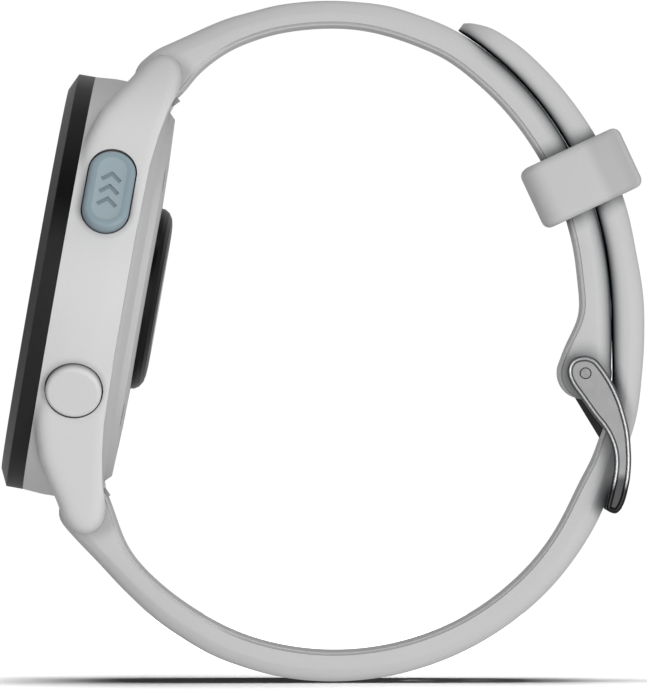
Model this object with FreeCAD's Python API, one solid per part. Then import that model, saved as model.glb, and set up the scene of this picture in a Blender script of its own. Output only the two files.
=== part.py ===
import FreeCAD, Part
import math
import os

# A 43 mm running watch with its band closed.  Millimetres.
# Row frame: origin in the middle of the wrist opening, +Z up along the band's longest way,
# +Y towards the nine o'clock side, -X towards the screen, +X towards the clasp.

os.makedirs("parts", exist_ok=True)
V = FreeCAD.Vector

# ---------------------------------------------------------------- driving dimensions
# the case is 43 mm across the bezel and 11.6 mm from the front glass to the back cover
HUMP = 13.0              # front glass to the optical window
CASE_TILT = 10.05        # the case leans back by this much in the row frame (degrees)
CASE_POS = (-30.30, 0.0, 6.81)   # centre of the front glass in the row frame
BEZEL_Z = -2.52          # back of the bezel ring
LUG_GAP = 20.2           # inner faces of the lugs, for a 20 mm band
BORE_R = 18.4            # inside of the case
BAR_U, BAR_D = 22.3, 9.1           # spring bar axes: along the case and down from the glass
BARREL_R = 2.62          # band end round the spring bar
BUTTON_Z = -6.10         # height of the button axes below the glass
BAND_W_LUG, BAND_W = 19.9, 18.0    # band width at the lugs and past the taper
PIN = (26.13, -2.89)     # buckle bar axis (X, Z)
PIN_R = 0.50
BULB_R = 2.70            # short strap end round the buckle bar
ARC_C = (-4.45, 4.17)    # centre of the arc that the keeper slides on
KEEPER_DEG = 25.0        # lean of the keeper
RUN_FIT = 0.04           # radial clearance of running fits

made = {}


def keep(name, shape):
    """Hold a finished node, as one solid or a compound of solids."""
    s = shape.removeSplitter() if shape.ShapeType != "Compound" else shape
    sol = s.Solids
    if not sol:
        raise RuntimeError(name + " has no solid")
    made[name] = sol[0] if len(sol) == 1 else Part.makeCompound(sol)


def group(name, shapes):
    out = []
    for s in shapes:
        out += s.removeSplitter().Solids
    made[name] = Part.makeCompound(out)


def revolve(pts):
    """Turn a closed (radius, z) outline about the case axis."""
    w = Part.makePolygon([V(r, 0, z) for r, z in pts] + [V(pts[0][0], 0, pts[0][1])])
    return Part.Face(w).revolve(V(0, 0, 0), V(0, 0, 1), 360)


def cyl(r, z0, z1, x=0.0, y=0.0):
    return Part.makeCylinder(r, abs(z1 - z0), V(x, y, min(z0, z1)))


def ring(ro, ri, z0, z1, x=0.0, y=0.0):
    return cyl(ro, z0, z1, x, y).cut(cyl(ri, min(z0, z1) - 1, max(z0, z1) + 1, x, y))


def box(x0, x1, y0, y1, z0, z1):
    return Part.makeBox(x1 - x0, y1 - y0, z1 - z0, V(x0, y0, z0))


def polar(r, deg):
    return r * math.cos(math.radians(deg)), r * math.sin(math.radians(deg))


# ---------------------------------------------------------------- case frame -> row frame
_s, _c = math.sin(math.radians(CASE_TILT)), math.cos(math.radians(CASE_TILT))
CASE_M = FreeCAD.Matrix(0, _s, -_c, CASE_POS[0],
                        -1, 0, 0, CASE_POS[1],
                        0, _c, _s, CASE_POS[2],
                        0, 0, 0, 1)


def in_row(shape):
    s = shape.copy()
    s.transformShape(CASE_M, True)
    return s


def case_xz(u, d):
    """Row (X, Z) of a point u along 6 to 12 o'clock and d down from the glass."""
    return (CASE_POS[0] + _s * u + _c * d, CASE_POS[2] + _c * u - _s * d)


P1 = case_xz(BAR_U, BAR_D)      # upper spring bar
P2 = case_xz(-BAR_U, BAR_D)     # lower spring bar

# ---------------------------------------------------------------- case middle
drum = revolve([(BORE_R, BEZEL_Z), (21.45, BEZEL_Z), (21.67, -4.6), (21.6, -7.2), (21.3, -9.6), (BORE_R, -9.6)])
LUG_SIDE = [(6.0, -3.2), (13.5, -2.55), (15.3, -2.9), (18.0, -3.75), (20.2, -5.05), (21.9, -6.25), (23.6, -7.2),
            (24.6, -8.3), (24.9, -9.2), (24.7, -10.2), (24.0, -11.0), (23.0, -11.4), (20.5, -10.9),
            (19.3, -10.5), (16.5, -10.0), (13.4, -9.6), (6.0, -9.6)]
lugs = None
for sx in (1, -1):
    for sy in (1, -1):
        w = Part.makePolygon([V(0, sy * u, z) for u, z in LUG_SIDE + LUG_SIDE[:1]])
        side = Part.Face(w).extrude(V(21.0 * sx, 0, 0))
        plan_pts = [(LUG_GAP / 2, 5.0), (20.55, 6.0), (20.2, 7.35), (13.8, 25.0), (13.0, 25.6), (LUG_GAP / 2, 25.6)]
        p = Part.makePolygon([V(sx * x, sy * y, -13) for x, y in plan_pts + plan_pts[:1]])
        plan = Part.Face(p).extrude(V(0, 0, 13))
        lug = side.common(plan)
        # soften the outer long edges of each lug
        try:
            es = []
            for e in lug.Edges:
                m = e.BoundBox
                if m.YLength > 1.0 and abs(abs(e.CenterOfMass.x)) > 13.4 and abs(e.CenterOfMass.y) > 13.0:
                    es.append(e)
            soft = lug.makeFillet(0.9, es)
            if soft.isValid() and soft.Solids:
                lug = soft
        except Exception:
            pass
        lugs = lug if lugs is None else lugs.fuse(lug)
middle = drum.fuse(lugs)
middle = middle.cut(cyl(BORE_R, -1.5, -9.6).fuse(cyl(BORE_R, -9.6, -14)))
middle = middle.cut(revolve([(18.4, -14), (24.0, -14), (24.0, -9.6), (18.4, -9.6)]).common(cyl(21.3, -14, -9.6)))
middle = middle.cut(revolve([(0, BEZEL_Z), (26, BEZEL_Z), (26, 1), (0, 1)]))
SCREW_R, SCREW_DEG = 17.2, (45, 135, 225, 315)
for a in SCREW_DEG:
    x, y = polar(SCREW_R, a)
    middle = middle.fuse(cyl(1.5, -6.6, -9.6, x, y)).cut(cyl(0.6, -7.4, -10, x, y))
middle = middle.cut(ring(19.2, 18.7, -9.1, -9.7))                      # gasket groove
for sy in (1, -1):                                                     # room for the band ends
    scoop = Part.makeCylinder(2.9, LUG_GAP, V(-LUG_GAP / 2, sy * BAR_U, -BAR_D), V(1, 0, 0))
    middle = middle.cut(scoop)
    middle = middle.cut(Part.makeCylinder(0.45, 23.0, V(-11.5, sy * BAR_U, -BAR_D), V(1, 0, 0)))
# vent to the pressure sensor, at twelve o'clock
middle = middle.cut(Part.makeCylinder(0.4, 6, V(0, 17, -4.4), V(0, 1, 0)))
middle = middle.cut(Part.makeCylinder(1.0, 1.0, V(0, 17.6, -4.4), V(0, 1, 0)))
keep_vent = Part.makeCylinder(1.0, 0.25, V(0, 18.35, -4.4), V(0, 1, 0))


# ---------------------------------------------------------------- buttons
def place(shape, deg):
    """Turn something built along +X (radially) to its place on the case."""
    s = shape.copy()
    m = FreeCAD.Matrix()
    m.move(V(0, 0, BUTTON_Z))
    m2 = FreeCAD.Matrix()
    m2.rotateZ(math.radians(deg))
    s.transformShape(m2.multiply(m), True)
    return s


def slot_prism(length, width, r0, r1):
    """Full-round section: length along the case, width along its depth, between two radii."""
    h, rr = length / 2 - width / 2, width / 2
    c1 = Part.makeCylinder(rr, r1 - r0, V(r0, h, 0), V(1, 0, 0))
    if h < 0.05:
        return c1
    c2 = Part.makeCylinder(rr, r1 - r0, V(r0, -h, 0), V(1, 0, 0))
    b = Part.makeBox(r1 - r0, 2 * h, width, V(r0, -h, -rr))
    return c1.fuse([c2, b]).removeSplitter()


def helix_spring(wire_r, coil_r, x0, x1, turns):
    """A return spring about +X, coiled from square wire."""
    pitch = (x1 - x0 - 2 * wire_r) / turns
    h = Part.makeHelix(pitch, x1 - x0 - 2 * wire_r, coil_r)
    w = wire_r
    prof = Part.makePolygon([V(coil_r + a * w, 0, b * w) for a, b in ((-1, -1), (1, -1), (1, 1), (-1, 1), (-1, -1))])
    s = Part.Wire(h.Edges).makePipeShell([prof], True, True)
    s.rotate(V(0, 0, 0), V(0, 1, 0), 90)
    s.translate(V(x0 + wire_r, 0, 0))
    return s


BUTTONS = [("start", 27.6, 9.0, 4.8), ("back", -29.0, 5.75, 5.75), ("light", 150.5, 5.2, 5.2),
           ("up", 180.0, 5.2, 5.2), ("down", 209.5, 5.2, 5.2)]
seals, switches, pockets = [], [], []
for name, deg, length, width in BUTTONS:
    top = 22.45
    cap = slot_prism(length, width, 20.85, top)
    try:
        es = [e for e in cap.Edges if abs(e.BoundBox.XMin - top) < 1e-3 and abs(e.BoundBox.XMax - top) < 1e-3]
        f = cap.makeFillet(0.45, es)
        if f.isValid() and f.Solids:
            cap = f
    except Exception:
        pass
    if name == "start":
        # three plain chevrons let into the face, pointing the way of travel
        for k in (-1, 0, 1):
            y0 = k * 1.5
            for s in (1, -1):
                bar = Part.makeBox(0.4, 0.34, 1.35, V(top - 0.12, -0.17, -0.05))
                bar.rotate(V(0, 0, 0), V(1, 0, 0), 38 * s if s > 0 else 180 - 38)
                bar.translate(V(0, y0 + 0.4, 0))
                cap = cap.cut(bar)
    stem = Part.makeCylinder(0.8, 20.9 - 17.7, V(17.7, 0, 0), V(1, 0, 0))
    keep(name + "_button", place(cap.fuse(stem), deg))
    clip = Part.makeCylinder(1.5, 0.3, V(17.9, 0, 0), V(1, 0, 0)).cut(
        Part.makeCylinder(0.8, 0.5, V(17.8, 0, 0), V(1, 0, 0)))
    clip = clip.cut(Part.makeBox(0.5, 0.9, 2.0, V(17.8, -0.45, 0)))
    keep(name + "_button_clip", place(clip, deg))
    coil = helix_spring(0.11, 1.25, 19.3, 20.85, 3.0)
    keep(name + "_button_spring", place(coil, deg))
    seal = Part.makeCylinder(1.5, 0.5, V(18.4, 0, 0), V(1, 0, 0)).cut(
        Part.makeCylinder(0.8 + RUN_FIT, 0.7, V(18.3, 0, 0), V(1, 0, 0)))
    seals.append(place(seal, deg))
    sw = Part.makeBox(1.5, 3.0, 2.7, V(15.3, -1.5, -1.35)).fuse(
        Part.makeCylinder(0.6, 0.3, V(16.75, 0, 0), V(1, 0, 0)))
    switches.append(place(sw, deg))
    pocket = slot_prism(length + 0.18, width + 0.18, 20.1, 24.5)
    pocket = pocket.fuse(Part.makeCylinder(1.6, 0.9, V(19.3, 0, 0), V(1, 0, 0)))
    pocket = pocket.fuse(Part.makeCylinder(0.8 + RUN_FIT, 3.0, V(17.5, 0, 0), V(1, 0, 0)))
    pocket = pocket.fuse(Part.makeCylinder(1.5, 1.4, V(17.5, 0, 0), V(1, 0, 0)))
    pockets.append(place(pocket, deg))
for p in pockets:
    middle = middle.cut(p)
keep("case_middle", in_row(middle))
for n in [n for n in made if "_button" in n]:
    keep(n, in_row(made[n]))
group("button_seals", [in_row(s) for s in seals])
group("tact_switches", [in_row(s) for s in switches])
keep("vent_membrane", in_row(keep_vent))

# ---------------------------------------------------------------- front
keep("bezel_ring", in_row(revolve([(18.7, 0), (19.78, 0), (21.5, -0.8), (21.5, BEZEL_Z), (18.45, BEZEL_Z),
                                   (18.45, -2.23), (17.6, -2.23), (17.6, -1.3), (18.7, -1.3)])))
keep("front_lens", in_row(revolve([(0, 0), (18.45, 0), (18.65, -0.2), (18.65, -1.2), (0, -1.2)])))
keep("lens_adhesive", in_row(ring(18.6, 17.7, -1.2, -1.3)))
keep("display_panel", in_row(cyl(16.6, -1.2, -2.3)))
flex = box(-3, 3, -15.72, -12.0, -2.42, -2.30).fuse([box(-3, 3, -15.72, -15.6, -3.6, -2.30),
                                                     box(-3, 3, -15.72, -12.6, -3.6, -3.48)])
keep("display_flex", in_row(flex))
frame_in = cyl(18.3, -2.6, -3.2).fuse(ring(18.3, 17.1, -3.2, -4.2))
frame_in = frame_in.cut(box(-3.6, 3.6, -16.3, -15.0, -4, -2)).cut(box(-4.0, 4.0, -14.8, -11.8, -3.0, -2.5))
for a in (80, 200, 340):
    x, y = polar(15.2, a)
    frame_in = frame_in.fuse(cyl(0.8, -3.15, -3.6, x, y))
frame_in = frame_in.cut(Part.makeCylinder(0.6, 4, V(0, 15.5, -4.4), V(0, 1, 0)))
keep("inner_frame", in_row(frame_in))
ant = ring(18.2, 17.0, -2.3, -2.6).cut(box(-20, 20, -20, -6, -5, 0))
keep("gps_antenna", in_row(ant))

# ---------------------------------------------------------------- electronics
keep("main_board", in_row(cyl(16.9, -3.6, -4.2).cut(box(-2, 2, 15.2, 18, -5, -3))))
chips = [box(-10.5, -5.5, -4.0, 1.0, -5.1, -4.2), box(-3.6, -0.6, -3.2, -0.6, -4.9, -4.2),
         box(-3.4, -1.4, 1.2, 3.2, -4.8, -4.2), box(-9.0, -7.0, 3.2, 5.0, -4.8, -4.2),
         box(-4.0, -1.6, -8.6, -6.8, -4.9, -4.2), box(-9.6, -7.4, -8.4, -6.6, -4.9, -4.2)]
group("board_chips", [in_row(b) for b in chips])
can = box(1.0, 11.0, -8.0, 4.0, -5.5, -4.2).cut(box(1.25, 10.75, -7.75, 3.75, -5.25, -4.1))
keep("shield_can", in_row(can))
ps = box(5.2, 8.2, 11.0, 14.0, -5.3, -4.2).cut(cyl(0.5, -5.4, -4.9, 6.7, 12.5))
keep("pressure_sensor", in_row(ps))
bat = box(-11, 11, -10.5, 8.3, -9.1, -5.9)
try:
    es = [e for e in bat.Edges if e.BoundBox.ZLength > 3]
    b2 = bat.makeFillet(1.2, es)
    if b2.isValid():
        bat = b2
except Exception:
    pass
keep("battery", in_row(bat))
keep("battery_foam", in_row(box(-8, 8, -7.0, 7.0, -9.5, -9.1)))
MOTOR = (0.0, 12.9)
motor = cyl(3.8, -6.2, -8.9, *MOTOR).cut(cyl(3.55, -6.45, -8.65, *MOTOR)).fuse(cyl(0.4, -6.3, -8.8, *MOTOR))
keep("vibration_motor_can", in_row(motor))
rotor = ring(3.3, 0.4 + RUN_FIT, -6.7, -8.3, *MOTOR)
half = box(-4, 4, MOTOR[1] - 4, MOTOR[1] - 0.9, -9, -6)
rotor = rotor.cut(half)
rotor = rotor.fuse(ring(1.0, 0.4 + RUN_FIT, -6.7, -8.3, *MOTOR))
keep("vibration_rotor", in_row(rotor))
keep("buzzer_disc", in_row(cyl(4.2, -10.1, -10.4, 0, 13.2)))

# ---------------------------------------------------------------- back
cover = revolve([(0, -9.6), (21.3, -9.6), (20.6, -10.0), (19.3, -10.6), (18.6, -11.3), (14.0, -11.5), (9.4, -11.6),
                 (0, -11.6)])
cover = cover.cut(cyl(17.9, -9.5, -10.4)).fuse(ring(BORE_R, 17.9, -9.3, -9.7))
cover = cover.fuse(box(-4.2, 4.2, -16.4, -11.2, -10.4, -9.8))
for a in SCREW_DEG:
    x, y = polar(SCREW_R, a)
    cover = cover.fuse(cyl(1.5, -9.6, -10.5, x, y)).cut(cyl(1.5, -9.2, -9.6, x, y))
cover = cover.cut(cyl(8.6, -9, -12))
for a in SCREW_DEG:
    x, y = polar(SCREW_R, a)
    cover = cover.cut(cyl(0.6, -9, -12, x, y)).cut(cyl(1.2, -10.8, -12, x, y))
cover = cover.cut(box(-3.6, 3.6, -15.6, -12.0, -12, -10.7))
for sy in (1, -1):
    cover = cover.cut(Part.makeCylinder(2.9, LUG_GAP, V(-LUG_GAP / 2, sy * BAR_U, -BAR_D), V(1, 0, 0)))
contacts = [cyl(0.45, -9.5, -11.0, x, -13.8) for x in (-2.4, -0.8, 0.8, 2.4)]
for c in contacts:
    cover = cover.cut(c)
keep("back_cover", in_row(cover))
keep("cover_gasket", in_row(ring(19.2, 18.7, -9.1, -9.6)))
screws = []
for a in SCREW_DEG:
    x, y = polar(SCREW_R, a)
    s = cyl(0.6, -7.4, -10.8, x, y).fuse(cyl(1.2, -10.8, -11.3, x, y))
    for k in range(3):
        b = box(-0.7, 0.7, -0.13, 0.13, -11.6, -11.05)
        b.rotate(V(0, 0, 0), V(0, 0, 1), 60 * k)
        b.translate(V(x, y, 0))
        s = s.cut(b)
    screws.append(in_row(s))
group("cover_screws", screws)
group("charge_contacts", [in_row(c) for c in contacts])
housing = revolve([(0, -9.8), (8.6, -9.8), (8.6, -11.6), (9.4, -11.6), (9.35, -12.0), (9.05, -12.45), (8.5, -12.8),
                   (7.8, -12.95), (7.0, -HUMP), (0, -HUMP)])
housing = housing.cut(cyl(7.8, -9.0, -11.3)).cut(cyl(5.2, -12.3, -14)).cut(cyl(4.6, -10, -13))
keep("sensor_housing", in_row(housing))
keep("sensor_window", in_row(cyl(5.2, -12.3, -HUMP)))
keep("sensor_board", in_row(cyl(7.75, -10.4, -11.0)))
leds = [box(-0.8, 0.8, -0.8, 0.8, -11.5, -11.0)]
for k in range(4):
    x, y = polar(2.9, 45 + 90 * k)
    leds.append(box(x - 0.7, x + 0.7, y - 0.7, y + 0.7, -11.5, -11.0))
for k in range(4):
    x, y = polar(2.9, 90 * k)
    leds.append(cyl(0.55, -11.4, -11.0, x, y))
group("sensor_leds", [in_row(b) for b in leds])


# ---------------------------------------------------------------- band
def spline(pts):
    c = Part.BSplineCurve()
    c.interpolate([V(x, 0, z) for x, z in pts])
    return c.toShape()


def line(a, b):
    return Part.makeLine(V(a[0], 0, a[1]), V(b[0], 0, b[1]))


def ycyl(r, x, z, y0, y1):
    return Part.makeCylinder(r, y1 - y0, V(x, y0, z), V(0, 1, 0))


def ribbon(outer, inner):
    """Side profile between two smooth edges, 24 mm wide before trimming."""
    w = Part.Wire(Part.__sortEdges__([spline(outer), line(outer[-1], inner[-1]), spline(inner), line(inner[0], outer[0])]))
    s = Part.Face(w).extrude(V(0, 24, 0))
    s.translate(V(0, -12, 0))
    return s


def plan_trim(shape):
    """Taper the band from the lugs to its even width."""
    a, b = BAND_W_LUG / 2, BAND_W / 2
    pts = [(-40, a), (-14, a), (14, b), (45, b), (45, -b), (14, -b), (-14, -a), (-40, -a)]
    w = Part.makePolygon([V(x, y, -50) for x, y in pts + pts[:1]])
    return shape.common(Part.Face(w).extrude(V(0, 0, 100)))


def on_arc(r, deg):
    x, z = polar(r, deg)
    return ARC_C[0] + x, ARC_C[1] + z


SHORT_OUT = [(P1[0] - 1.70, P1[1] + 1.95), (-17.9, 30.12), (-16.4, 30.86), (-13.16, 32.33), (-10.11, 33.55), (-8.0, 34.13),
             (-5.79, 34.70), (-3.0, 35.10), (0.0, 35.25), (3.0, 35.10), (6.0, 34.70), (9.0, 33.80), (12.0, 32.62)] + \
            [on_arc(r, a) for r, a in ((33.02, 52), (33.03, 47), (33.03, 42), (33.03, 36), (33.03, 30), (33.03, 23), (33.05, 16), (33.09, 10),
                                       (33.13, 5))] + [(28.80, 2.6), (28.84, 0.2), (28.80, -2.3)]
SHORT_IN = [(P1[0] + 1.30, P1[1] - 2.10), (-15.1, 26.1), (-13.85, 27.6), (-12.2, 29.1), (-10.11, 30.45), (-8.0, 31.35),
            (-5.79, 32.02), (-3.0, 32.5), (0.0, 32.68), (3.0, 32.5), (6.0, 31.86), (9.0, 30.83), (12.0, 29.42)] + \
           [on_arc(30.12, a) for a in (50, 45, 40, 34, 28, 22, 16, 10, 4)] + [(25.62, 3.0), (24.98, 1.3), (24.14, -0.5),
                                                                            (23.69, -1.74)]
short = ribbon(SHORT_OUT, SHORT_IN).fuse(ycyl(BULB_R, PIN[0], PIN[1], -12, 12))
short = plan_trim(short)
short = short.fuse(ycyl(BARREL_R, P1[0], P1[1], -BAND_W_LUG / 2, BAND_W_LUG / 2)).removeSplitter()
short = short.cut(ycyl(PIN_R, PIN[0], PIN[1], -15, 15))
short = short.cut(Part.makeBox(12, 2.9, 12, V(PIN[0] - 6.0, -1.45, PIN[1] - 9.6)).fuse(
    ycyl(2.9, PIN[0], PIN[1], -1.45, 1.45)))

LONG_OUT = [(P2[0] - 2.45, P2[1] + 0.30), (-27.75, -17.45), (-26.77, -19.06), (-25.26, -20.69), (-23.75, -22.25), (-21.80, -24.36),
            (-20.07, -26.09), (-17.91, -28.04), (-15.31, -29.88), (-12.28, -31.65), (-9.04, -32.93), (-5.15, -33.96),
            (0.4, -34.44), (5.7, -33.97), (10.8, -32.60), (15.63, -30.36), (20.0, -27.31), (23.2, -24.2), (25.6, -21.05),
            (27.0, -18.75), (28.0, -16.7), (28.85, -14.6), (29.65, -12.4), (30.45, -10.4), (31.15, -8.3), (31.6, -6.2),
            (31.9, -3.6), (32.13, -0.8), (32.2, 2.0), (32.12, 4.6)] + \
           [on_arc(r, a) for r, a in ((36.2, 9), (36.2, 14), (36.18, 19), (36.12, 24), (36.04, 29), (35.94, 34), (35.84, 39), (35.73, 44),
                                      (35.62, 48), (35.42, 51), (35.1, 54), (34.72, 55.7), (34.4, 56.9), (34.05, 57.8))]
LONG_IN = [(P2[0] + 2.50, P2[1] + 0.78), (-22.28, -17.2), (-21.83, -18.5), (-21.33, -19.80), (-20.42, -21.45), (-18.78, -23.39), (-16.18, -25.67),
           (-13.16, -27.72), (-9.69, -29.50), (-5.15, -30.87), (0.47, -31.44), (5.24, -31.02), (9.87, -29.79),
           (14.2, -27.77), (18.1, -25.0), (21.2, -21.9), (23.3, -18.95), (24.7, -16.3), (25.85, -13.95), (26.95, -11.8), (27.75, -9.7),
           (28.47, -7.6), (28.93, -5.5), (29.12, -3.3), (29.10, -0.8), (29.05, 1.6), (28.98, 4.3)] + \
          [on_arc(r, a) for r, a in ((33.34, 5), (33.32, 10), (33.30, 16), (33.30, 22), (33.30, 28), (33.30, 34), (33.30, 40), (33.30, 46),
                                     (33.30, 52), (33.29, 55.5), (33.26, 57.9))]
longs = ribbon(LONG_OUT, LONG_IN)
longs = plan_trim(longs)
longs = longs.fuse(ycyl(BARREL_R, P2[0], P2[1], -BAND_W_LUG / 2, BAND_W_LUG / 2)).removeSplitter()
# raised bump near the free end that stops the keeper
bump = Part.makeCylinder(0.9, BAND_W - 7, V(on_arc(35.12, 45.3)[0], -(BAND_W - 7) / 2, on_arc(35.12, 45.3)[1]), V(0, 1, 0))
longs = longs.fuse(bump).removeSplitter()


def hole(x, z, nx, nz, length=3.2, width=2.2, deep=10.0):
    """An oval hole through the band at (x, z) whose axis is (nx, nz)."""
    n = math.hypot(nx, nz)
    nx, nz = nx / n, nz / n
    t = (-nz, nx)
    h = length / 2 - width / 2
    out = None
    for s in (1, -1):
        c = Part.makeCylinder(width / 2, deep, V(x + s * h * t[0] - nx * deep / 2, 0, z + s * h * t[1] - nz * deep / 2), V(nx, 0, nz))
        out = c if out is None else out.fuse(c)
    bx = Part.makeBox(2 * h, width, deep, V(-h, -width / 2, -deep / 2))
    m = FreeCAD.Matrix(t[0], 0, nx, x, 0, 1, 0, 0, t[1], 0, nz, z, 0, 0, 0, 1)
    if t[0] * nz - t[1] * nx < 0:
        m = FreeCAD.Matrix(-t[0], 0, nx, x, 0, 1, 0, 0, -t[1], 0, nz, z, 0, 0, 0, 1)
    bx.transformShape(m, True)
    return out.fuse(bx).removeSplitter()


HOLES = [(-74, 'l'), (-62, 'l'), (-50, 'l')]
for a, _k in HOLES:
    x, z = 0.43 + 29.0 * math.cos(math.radians(a)), -3.96 + 29.0 * math.sin(math.radians(a))
    longs = longs.cut(hole(x, z, x - 0.43, z + 3.96, deep=8))
for a in (1.0, 12.5, 35.0, 48.0):
    x, z = on_arc(34.8, a)
    longs = longs.cut(hole(x, z, x - ARC_C[0], z - ARC_C[1], deep=5.2))
# the hole in use lies along the tongue
longs = longs.cut(hole(29.38, -10.72, 0.536, -0.844, length=3.3, width=2.6, deep=13.0).common(
    Part.makeBox(12, 6, 10.6, V(24.5, -3, -17.0))))

# the tongue: a boss on the buckle bar, then a blade through the hole and over the cross bar
TONGUE = [(25.80, -4.50), (26.03, -4.93), (28.60, -9.14), (29.95, -11.36), (30.42, -12.70), (30.50, -13.90), (30.28, -15.30), (29.95, -16.85),
          (29.36, -16.75), (29.62, -15.20), (29.70, -13.90), (29.58, -12.95), (29.10, -11.86), (27.75, -9.66), (26.0, -6.80), (25.18, -5.45),
          (24.90, -4.98)]
blade = Part.Face(Part.makePolygon([V(x, -0.95, z) for x, z in TONGUE + TONGUE[:1]])).extrude(V(0, 1.9, 0))
tongue = blade.fuse(ycyl(2.1, PIN[0], PIN[1], -1.25, 1.25)).cut(ycyl(PIN_R + RUN_FIT, PIN[0], PIN[1], -3, 3))
keep("buckle_tongue", tongue)

# buckle frame: two arms and the cross bar that the tongue rests on
ARM = [(26.12, -1.07), (26.78, -1.23), (27.3, -1.53), (27.81, -2.15), (28.42, -3.02), (28.93, -3.88), (29.44, -4.91),
       (29.85, -5.93), (30.16, -6.95), (30.46, -8.08), (30.67, -9.2), (30.77, -10.53), (30.82, -11.76),
       (30.77, -12.78), (30.67, -13.8), (30.46, -14.83), (30.21, -15.85), (29.9, -16.56), (29.6, -17.02),
       (29.19, -17.28), (28.73, -17.16), (28.16, -16.85), (28.27, -16.15), (28.47, -15.44), (28.66, -14.62),
       (28.86, -13.8), (29.0, -12.88), (29.06, -11.96), (28.98, -10.94), (28.73, -10.02), (28.32, -9.1),
       (27.81, -8.28), (27.19, -7.57), (26.58, -6.75), (25.97, -5.88), (25.35, -5.01), (24.74, -4.19),
       (24.38, -3.48), (24.23, -2.86), (24.28, -2.25), (24.59, -1.63), (25.15, -1.23)]
ARM_IN, ARM_OUT = BAND_W / 2 + 0.45, BAND_W / 2 + 2.25
armf = Part.Face(Part.makePolygon([V(x, 0, z) for x, z in ARM + ARM[:1]]))
a1 = armf.extrude(V(0, ARM_OUT - ARM_IN, 0))
a2 = a1.copy()
a1.translate(V(0, ARM_IN, 0))
a2.translate(V(0, -ARM_OUT, 0))
BARP = [(30.40, -15.10), (30.21, -15.85), (29.90, -16.56), (29.59, -17.02), (29.19, -17.28), (28.75, -17.14), (28.62, -16.50),
        (28.88, -15.70), (29.40, -15.10), (30.0, -14.90)]
bar = Part.Face(Part.makePolygon([V(x, -ARM_IN - 0.5, z) for x, z in BARP + BARP[:1]])).extrude(V(0, 2 * ARM_IN + 1.0, 0))
frame_b = a1.fuse([a2, bar]).removeSplitter()
frame_b = frame_b.cut(Part.makeBox(3.0, 2.5, 6.0, V(29.22, -1.25, -18.5)))      # notch for the tongue
frame_b = frame_b.cut(ycyl(PIN_R + RUN_FIT, PIN[0], PIN[1], -15, 15))
keep("buckle_frame", frame_b)
keep("buckle_bar", ycyl(PIN_R, PIN[0], PIN[1], -ARM_OUT - 0.15, ARM_OUT + 0.15))

# the keeper: a loop round both layers of the band


def keeper_box(r0, r1, half_len, half_w, fil):
    b = Part.makeBox(r1 - r0, 2 * half_w, 2 * half_len, V(r0, -half_w, -half_len))
    if fil:
        b = b.makeFillet(fil, b.Edges)
    return b


kout = keeper_box(27.41, 38.38, 3.3, BAND_W / 2 + 2.2, 0.9)
kin = keeper_box(29.66, 36.66, 5.0, BAND_W / 2 + 0.45, 0)
kin = kin.makeFillet(0.8, [e for e in kin.Edges if abs(e.BoundBox.ZLength - 10.0) < 1e-3])
keeper = kout.cut(kin)
keeper.translate(V(0, 0, -1.03))                 # it leans a little on the band
keeper.rotate(V(0, 0, 0), V(0, 1, 0), -KEEPER_DEG)
keeper.translate(V(ARC_C[0], 0, ARC_C[1]))
keep("keeper_loop", keeper)


# ---------------------------------------------------------------- quick-release bars
def spring_bar(label, u, sign):
    """Bar along the case's x at (0, u, -BAR_D); the release pin is on the three o'clock side."""
    z = -BAR_D

    def xcyl(r, x0, x1):
        return Part.makeCylinder(r, x1 - x0, V(x0, u, z), V(1, 0, 0))

    kd = V(0, -sign * 0.704, -0.710)                 # the way the release lever points

    def radial(x0, x1, half, reach):
        b = Part.makeBox(x1 - x0, 2 * half, reach, V(x0, -half, 0))
        ang = math.degrees(math.atan2(-kd.y, kd.z))
        b.rotate(V(0, 0, 0), V(1, 0, 0), ang)
        b.translate(V(0, u, z))
        return b

    tube = xcyl(0.95, -9.7, 9.7).cut(xcyl(0.65, -9.2, 11))
    tube = tube.fuse(xcyl(0.40, -11.1, -9.5))
    tube = tube.cut(radial(4.2, 7.2, 0.62, 3.0))
    pin = xcyl(0.65 - RUN_FIT, 2.6, 9.6).fuse(xcyl(0.40, 9.5, 11.1)).fuse(radial(5.75, 6.85, 0.45, 3.02))
    s = helix_spring(0.10, 0.46, 0.0, 11.8, 12.0)
    s.translate(V(-9.2, u, z))
    return tube, pin, s, radial(3.6, 7.8, 1.1, 6.0), xcyl(0.95, -15, 15)


for label, u, sign in (("upper", BAR_U, 1), ("lower", -BAR_U, -1)):
    tube, pin, coil, slot, through = spring_bar(label, u, sign)
    keep(label + "_spring_bar", in_row(tube))
    keep(label + "_release_pin", in_row(pin))
    keep(label + "_bar_spring", in_row(coil))
    if label == "upper":
        short = short.cut(in_row(through)).cut(in_row(slot))
    else:
        longs = longs.cut(in_row(through)).cut(in_row(slot))
keep("short_strap", short)
keep("long_strap", longs)

# ---------------------------------------------------------------- write
total = 0.0
for name, shape in made.items():
    if not shape.isValid():
        print("INVALID", name)
    n = len(shape.Solids)
    v = sum(s.Volume for s in shape.Solids)
    total += v
    shape.exportStep(os.path.join("parts", name + ".step"))
    print(name, n, round(v, 2), [round(t, 2) for t in (shape.BoundBox.XMin, shape.BoundBox.XMax, shape.BoundBox.YMin,
                                                       shape.BoundBox.YMax, shape.BoundBox.ZMin, shape.BoundBox.ZMax)])
print(len(made), "nodes", round(total, 1), "mm3", "P1", P1, "P2", P2)
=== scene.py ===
import bpy, bmesh, math
import numpy as np
from mathutils import Vector, Matrix


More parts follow.
